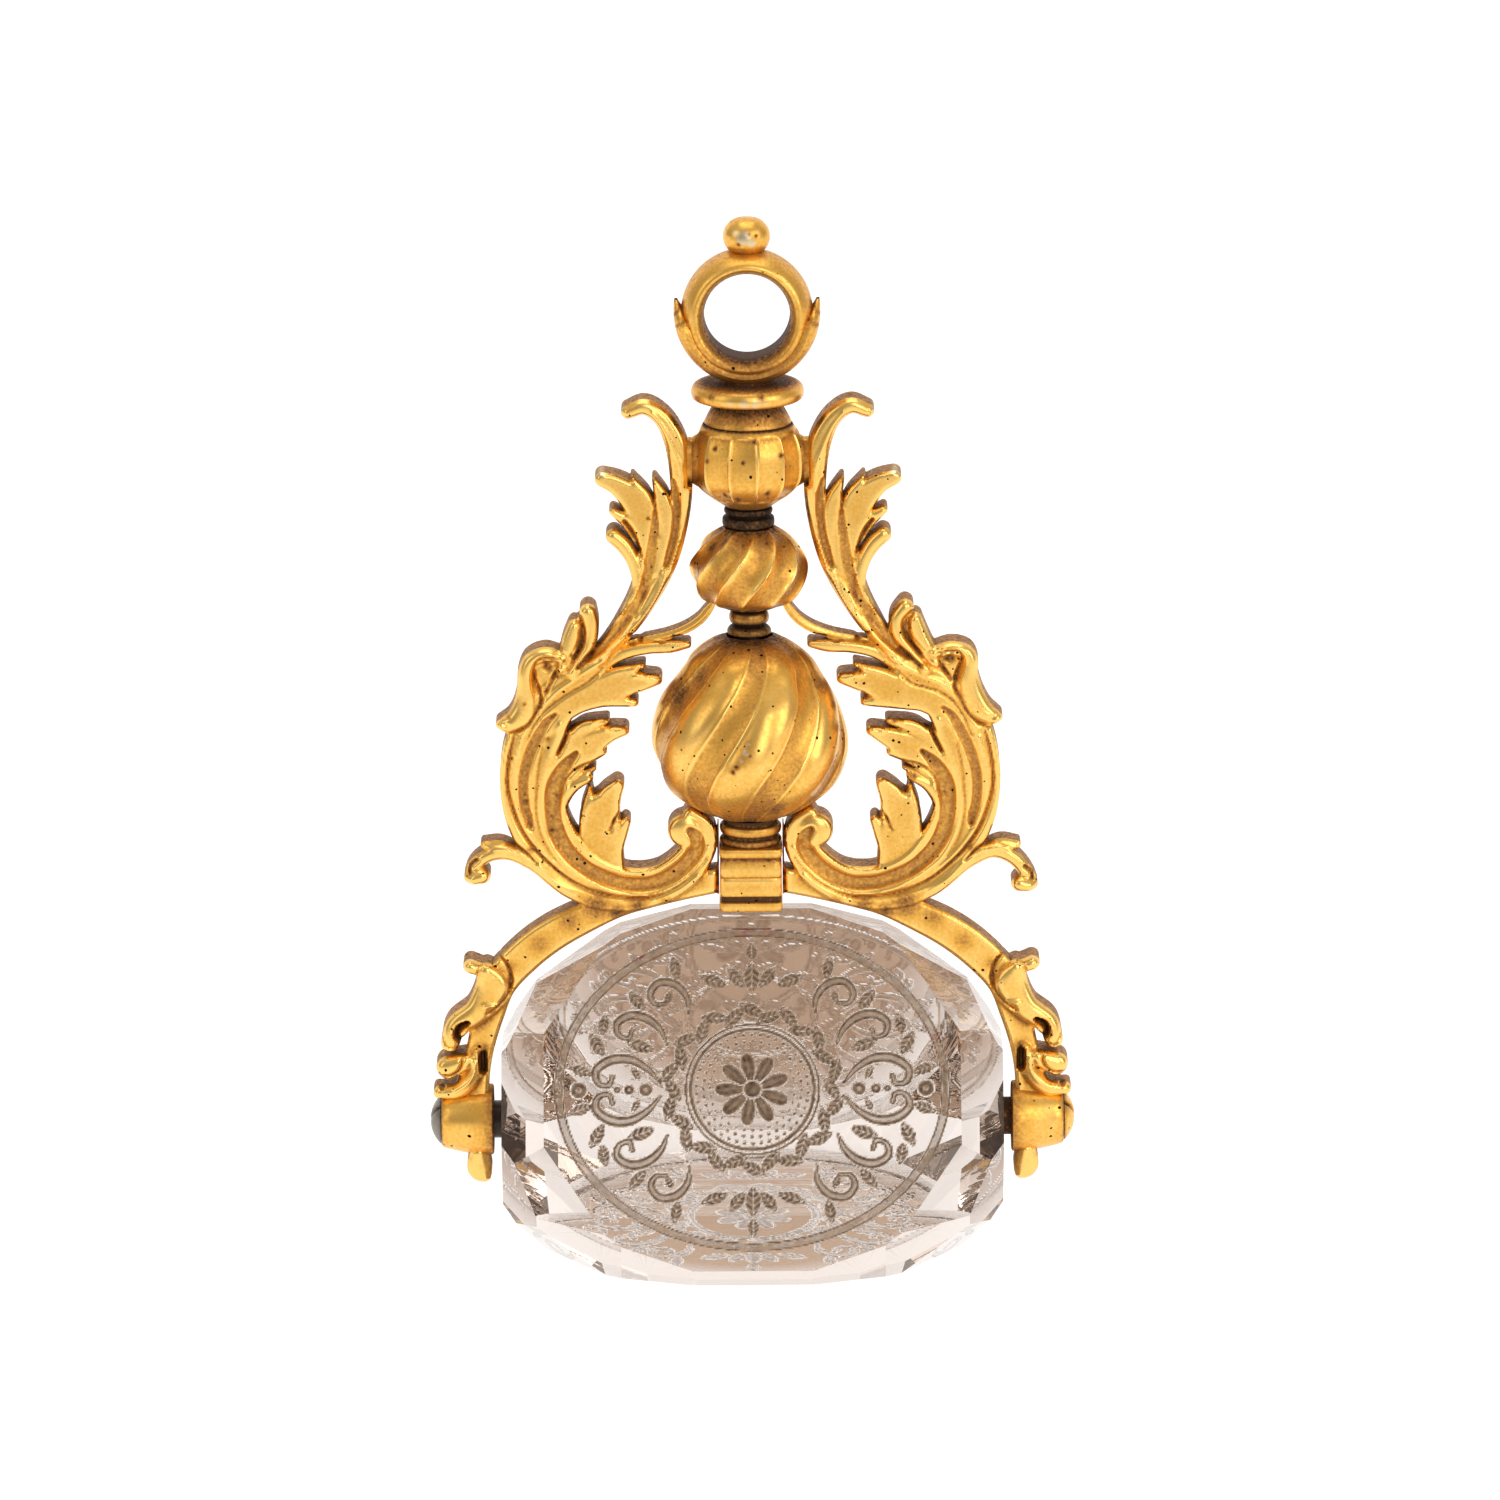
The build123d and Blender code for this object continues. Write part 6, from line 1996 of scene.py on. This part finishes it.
@dataclass
class Stone:
    """The three-sided crystal with its facets and its engraved tables.

    Args:
        half_length: Half the length along X.
        inradius: Distance from the axis to a table.
        ridge_radius: Distance from the axis to a ridge.
        pivot_height: Height of the axis.
        hole: Radius and depth of the pivot holes.
        steps: Grid steps of the front table and of the two others, in millimetres.
        rim: How far outside the border oval the engraved grid ends, in millimetres.
        facets: Roll and tilt of each facet's normal in degrees, and shares of the half length
            and of the half height at which it starts.
        wax: Places and sizes of the wax traces on the front table, in millimetres.
    """

    half_length: float = 15.1
    inradius: float = 7.15
    ridge_radius: float = 13.25
    pivot_height: float = 7.15
    hole: Pair = (1.2, 1.51)
    steps: Pair = (0.092, 0.132)
    rim: float = 0.1
    facets: tuple[Quad, ...] = (
        (0, 0, 0, 1), (0, 17, 0.238, 1), (0, 33, 0.53, 0.857), (0, 62, 0.828, 0.618),
        (31, 36, 0.828, 0.313), (60, 45, 0.828, 0),
    )
    wax: tuple[Triple, ...] = (
        (-6.7, 8.2, 0.35), (-0.4, 9.75, 0.6), (1.1, 9.7, 0.4), (11.1, 3.2, 0.5),
    )

    def planes(self) -> list[tuple[Vector, Vector]]:
        """List the planes that bound the stone.

        Returns:
            A point and an outward normal for each plane.
        """
        centre = Vector((0, 0, self.pivot_height))
        sine, cosine = math.sin(math.pi / 3), math.cos(math.pi / 3)
        half_height = (self.ridge_radius - self.inradius * cosine) / sine
        found = [(centre + Vector((end * self.half_length, 0, 0)), Vector((end, 0, 0))) for end in (-1, 1)]
        for number in range(3):
            ridge_roll = number * 120
            ridge = Vector((0, math.sin(math.radians(ridge_roll)), math.cos(math.radians(ridge_roll))))
            for hand in (1, -1):
                roll = math.radians(ridge_roll + hand * 60)
                normal = Vector((0, math.sin(roll), math.cos(roll)))
                across_way = (ridge - normal * normal.dot(ridge)).normalized()
                if hand == 1:
                    found.append((centre + normal * self.inradius, normal))
                for turn, tilt, along, across in self.facets:
                    if hand == -1 and turn in (0, 60):
                        continue
                    facet_roll = math.radians(ridge_roll + hand * turn)
                    for end in (1, -1) if tilt else (1,):
                        way = Vector((
                            end * math.sin(math.radians(tilt)),
                            math.cos(math.radians(tilt)) * math.sin(facet_roll),
                            math.cos(math.radians(tilt)) * math.cos(facet_roll),
                        ))
                        point = (
                            centre + Vector((end * along * self.half_length, 0, 0))
                            + normal * self.inradius + across_way * across * half_height
                        )
                        found.append((point, way))
        return found

    def body(self) -> list[np.ndarray]:
        """Cut the faceted body.

        Returns:
            The corners of each face, in order.
        """
        mesh = bmesh.new()
        bmesh.ops.create_cube(mesh, size=80)
        bmesh.ops.translate(mesh, verts=mesh.verts, vec=(0, 0, self.pivot_height))
        for point, normal in self.planes():
            parts = mesh.verts[:] + mesh.edges[:] + mesh.faces[:]
            cut = bmesh.ops.bisect_plane(
                mesh, geom=parts, dist=1e-5, plane_co=point, plane_no=normal, clear_outer=True
            )
            edges = [part for part in cut["geom_cut"] if isinstance(part, bmesh.types.BMEdge)]
            if len(edges) > 2:
                bmesh.ops.contextual_create(mesh, geom=edges)
        bmesh.ops.recalc_face_normals(mesh, faces=mesh.faces[:])
        faces = [np.array([vert.co[:] for vert in face.verts]) for face in mesh.faces]
        mesh.free()
        log.info("stone body: %d faces", len(faces))
        return faces

    def add_holed(
        self,
        shape: Shape,
        corners: np.ndarray,
        place: tuple[np.ndarray, np.ndarray],
        loop: tuple[np.ndarray, np.ndarray],
    ) -> None:
        """Add a face with a hole in it.

        Args:
            shape: The mesh.
            corners: The face's corners.
            place: A point of the face, and two directions in it whose cross product points outwards.
            loop: Places of the hole's rim, and its edges.
        """
        origin, axes = place
        places, edges = loop
        outer = (corners - origin) @ axes.T
        flat = np.concatenate([places, outer])
        start = len(places)
        limits = [(int(a), int(b)) for a, b in edges]
        limits += [(start + i, start + (i + 1) % len(outer)) for i in range(len(outer))]
        found, _, triangles, sources, *_ = delaunay_2d_cdt(
            [Vector(p) for p in flat], limits, [], 1, 1e-7
        )
        found = np.array([v[:] for v in found])
        is_corner = [max(source) >= start for source in sources]
        turned = []
        for a, b, c in triangles:
            if is_corner[a] or is_corner[b] or is_corner[c]:
                side = found[b] - found[a]
                way = found[c] - found[a]
                turned.append([a, b, c] if side[0] * way[1] > side[1] * way[0] else [a, c, b])
        shape.add(origin + found @ axes, turned)

    def add_table(
        self, shape: Shape, corners: np.ndarray, normal: np.ndarray, step: float, engraving: Engraving
    ) -> None:
        """Add an engraved table.

        Args:
            shape: The mesh.
            corners: The table's corners.
            normal: Its outward normal.
            step: Grid step.
            engraving: What is cut into it.
        """
        origin = np.array([0, 0, self.pivot_height]) + normal * self.inradius
        along = np.array([1.0, 0, 0])
        axes = np.array([along, np.cross(normal, along)])
        half_x, half_y = engraving.half_length + self.rim, engraving.half_height + self.rim
        x = np.arange(-half_x - step, half_x + 2 * step, step)
        y = np.arange(-half_y - step, half_y + 2 * step, step)
        grid_x, grid_y = np.meshgrid(x, y, indexing="ij")
        depth, frost = engraving.depth(grid_x, grid_y)
        cells = Cells.cut(1 - np.hypot(grid_x / half_x, grid_y / half_y))
        places = np.stack([x[0] + cells.places[:, 0] * step, y[0] + cells.places[:, 1] * step], axis=1)
        sunk, matt = cells.sample(depth), cells.sample(frost)
        rim = np.unique(np.array(cells.rim))
        sunk[rim] = 0
        points = origin + places @ axes - sunk[:, None] * normal[None, :]
        wax = np.zeros(len(places))
        for at_x, at_y, span in self.wax if step == self.steps[0] else ():
            off = np.hypot(places[:, 0] - at_x, places[:, 1] - at_y) / span
            wax = np.maximum(wax, np.exp(-(off**2)) * matt)
        shape.add(points, cells.faces, frost=matt, wax=wax)
        order = {int(v): i for i, v in enumerate(rim)}
        edges = np.array([(order[a], order[b]) for a, b in cells.rim])
        self.add_holed(shape, corners, (origin, axes), (places[rim], edges))

    def add_end(self, shape: Shape, corners: np.ndarray, end: int) -> None:
        """Add an end face with its pivot hole.

        Args:
            shape: The mesh.
            corners: The face's corners.
            end: -1 for the left end and 1 for the right one.
        """
        radius, deep = self.hole
        angles = full_turn(48)
        circle = np.stack([np.cos(angles), np.sin(angles)], axis=1) * radius
        origin = np.array([end * self.half_length, 0, self.pivot_height])
        axes = np.array([[0, end, 0], [0, 0, 1]], float)
        n = len(angles)
        edges = np.array([(i, (i + 1) % n) for i in range(n)])
        self.add_holed(shape, corners, (origin, axes), (circle, edges))
        rim = origin + circle @ axes
        floor = rim - np.array([end * deep, 0, 0])
        faces = [[i, (i + 1) % n, n + (i + 1) % n, n + i] for i in range(n)] + [list(range(n, 2 * n))]
        shape.add(np.concatenate([rim, floor]), faces, frost=np.full(2 * n, 0.8))

    def build(self, crystal: Material) -> None:
        """Make the stone.

        Args:
            crystal: The rock crystal.
        """
        shape = Shape()
        engravings = (
            Engraving(),
            Engraving(turn=11, petals=7, residue=0.4, stippled=False),
            Engraving(turn=4, petals=8, residue=0.4, stippled=False),
        )
        rolls = [math.radians(roll) for roll in (-60, 60, 180)]
        normals = [np.array([0, math.sin(roll), math.cos(roll)]) for roll in rolls]
        for corners in self.body():
            middle = corners.mean(0)
            normal = np.zeros(3)
            for k in range(1, len(corners) - 1):
                normal += np.cross(corners[k] - corners[0], corners[k + 1] - corners[0])
            normal /= np.linalg.norm(normal)
            if normal @ (middle - np.array([0, 0, self.pivot_height])) < 0:
                corners, normal = corners[::-1], -normal
            table = [k for k, n in enumerate(normals) if normal @ n > 0.9999]
            if table:
                step = self.steps[0] if table[0] == 0 else self.steps[1]
                self.add_table(shape, corners, normals[table[0]], step, engravings[table[0]])
            elif abs(normal[0]) > 0.9999:
                self.add_end(shape, corners, int(np.sign(normal[0])))
            else:
                shape.add(corners, [list(range(len(corners)))])
        thing = shape.build("seal_stone_engraved", crystal, sharp=0)
        work = bmesh.new()
        work.from_mesh(thing.data)
        bmesh.ops.remove_doubles(work, verts=work.verts[:], dist=2e-7)
        work.to_mesh(thing.data)
        work.free()
        mount_piece(thing, "stone", "crystal", "seal_stone")


@dataclass(frozen=True)
class SoftLight:
    """A soft box.

    Args:
        name: Its name.
        place: Its middle, in millimetres.
        aim: The point it faces, in millimetres.
        size: Its width and height, in millimetres.
        radiance: How bright its face is; 1 shows as white.
    """

    name: str
    place: Triple
    aim: Triple
    size: Pair
    radiance: float

    def build(self) -> Object:
        """Make the light.

        Returns:
            The light's object.
        """
        width, height = (side * METRES for side in self.size)
        data = bpy.data.lights.new(self.name, "AREA")
        data.shape = "RECTANGLE"
        data.size, data.size_y = width, height
        data.energy = self.radiance * math.pi * width * height
        light = bpy.data.objects.new(self.name, data)
        bpy.context.scene.collection.objects.link(light)
        light.location = Vector(self.place) * METRES
        light.rotation_euler = (Vector(self.aim) - Vector(self.place)).to_track_quat("-Z", "Y").to_euler()
        return light


@dataclass
class Studio:
    """White paper sweep, soft boxes and the sky round them.

    Args:
        floor_side: Side of the paper, in millimetres.
        sweep_start: Where the paper starts to rise behind the seal.
        sweep_radius: Radius of the rise.
        lights: The soft boxes.
        sky: Brightness of the sky level with the seal, and what it gains toward the right, the back
            and the top.
        sky_colour: Colour of the sky.
    """

    floor_side: float = 2400.0
    sweep_start: float = 500.0
    sweep_radius: float = 300.0
    lights: tuple[SoftLight, ...] = (
        SoftLight("left_box", (-430, -260, 260), (0, 0, 25), (260, 380), 1.0),
        SoftLight("front_box", (200, -760, 340), (0, 0, 30), (230, 640), 2.9),
        SoftLight("right_box", (400, -300, 230), (0, 0, 30), (260, 380), 2.1),
        SoftLight("top_box", (0, 40, 520), (0, 0, 20), (360, 360), 1.5),
    )
    sky: Quad = (0.36, 0.03, 0.08, 0.26)
    sky_colour: str = "FFFDFA"

    def build(self) -> None:
        """Make the floor, the lights and the world."""
        half = self.floor_side / 2
        profile = [(-half, 0.0), (self.sweep_start, 0.0)]
        for angle in np.linspace(0, math.pi / 2, 13)[1:]:
            profile.append((
                self.sweep_start + self.sweep_radius * math.sin(angle),
                self.sweep_radius * (1 - math.cos(angle)),
            ))
        profile.append((profile[-1][0], half))
        points = np.array([(side * half, y, z) for y, z in profile for side in (-1, 1)])
        faces = [[2 * k, 2 * k + 1, 2 * k + 3, 2 * k + 2] for k in range(len(profile) - 1)]
        shape = Shape()
        shape.add(points, faces)
        shape.build("paper_sweep", FloorFinish().build(), sharp=60)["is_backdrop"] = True
        for light in self.lights:
            light.build()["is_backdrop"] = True
        self.build_sky()
        bpy.context.scene.view_settings.view_transform = "Standard"

    def build_sky(self) -> None:
        """Make a sky that is brighter above and behind."""
        world = bpy.data.worlds.new("studio")
        world.use_nodes = True
        world.node_tree.nodes.clear()
        node = partial(add_node, world.node_tree)
        way = node("ShaderNodeTexCoord").outputs["Generated"]
        parts = node("ShaderNodeSeparateXYZ", {0: way})
        level, *gains = self.sky
        for name, gain in zip("XYZ", gains):
            inputs = {0: parts.outputs[name], 1: gain, 2: level}
            level = node("ShaderNodeMath", inputs, operation="MULTIPLY_ADD")
        sky = node("ShaderNodeBackground", {"Color": linear(self.sky_colour), "Strength": level})
        node("ShaderNodeOutputWorld", {"Surface": sky})
        bpy.context.scene.world = world


def show_solid(frame: dict, node: str, material: Material) -> None:
    """Give a solid that is shown as it is its finish.

    Args:
        frame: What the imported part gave.
        node: The solid's name.
        material: Its material.
    """
    solid = frame["nodes"][node]
    solid.data.materials.clear()
    solid.data.materials.append(material)


def write_size(sizes: dict[str, list], when: str) -> None:
    """Write down how large the shown object is.

    Args:
        sizes: Sizes so far, by moment.
        when: The moment.
    """
    low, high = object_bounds()
    sizes[when] = [list(low), list(high)]


def main() -> None:
    """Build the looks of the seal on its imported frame."""
    logging.basicConfig(level=logging.INFO)
    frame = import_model()
    sizes: dict[str, list] = {}
    write_size(sizes, "frame")
    camera = PhotoCamera()
    gilt = GiltFinish().build()
    dark = GiltFinish(
        name="gilt_brass_darkened", bright="D8A25A", face="A87738", dull="6B4A26", brown="20140C"
    ).build()
    steel = SteelFinish().build()
    for side, name in ((-1, "left"), (1, "right")):
        mount_piece(ScrollArm(camera, side).build(gilt), "mount", "gilt", f"{name}_arm")
    mount_piece(PivotScrew(-1).build(steel), "mount", "steel", "left_pivot_screw")
    mount_piece(PivotScrew(1).build(gilt), "mount", "gilt", "right_pivot_screw")
    Stem().build(gilt, dark)
    Bow().build(gilt)
    show_solid(frame, "stem_rod", steel)
    Stone().build(CrystalFinish().build())
    Studio().build()
    camera.build()
    write_size(sizes, "looks")


if __name__ == "__main__":
    main()
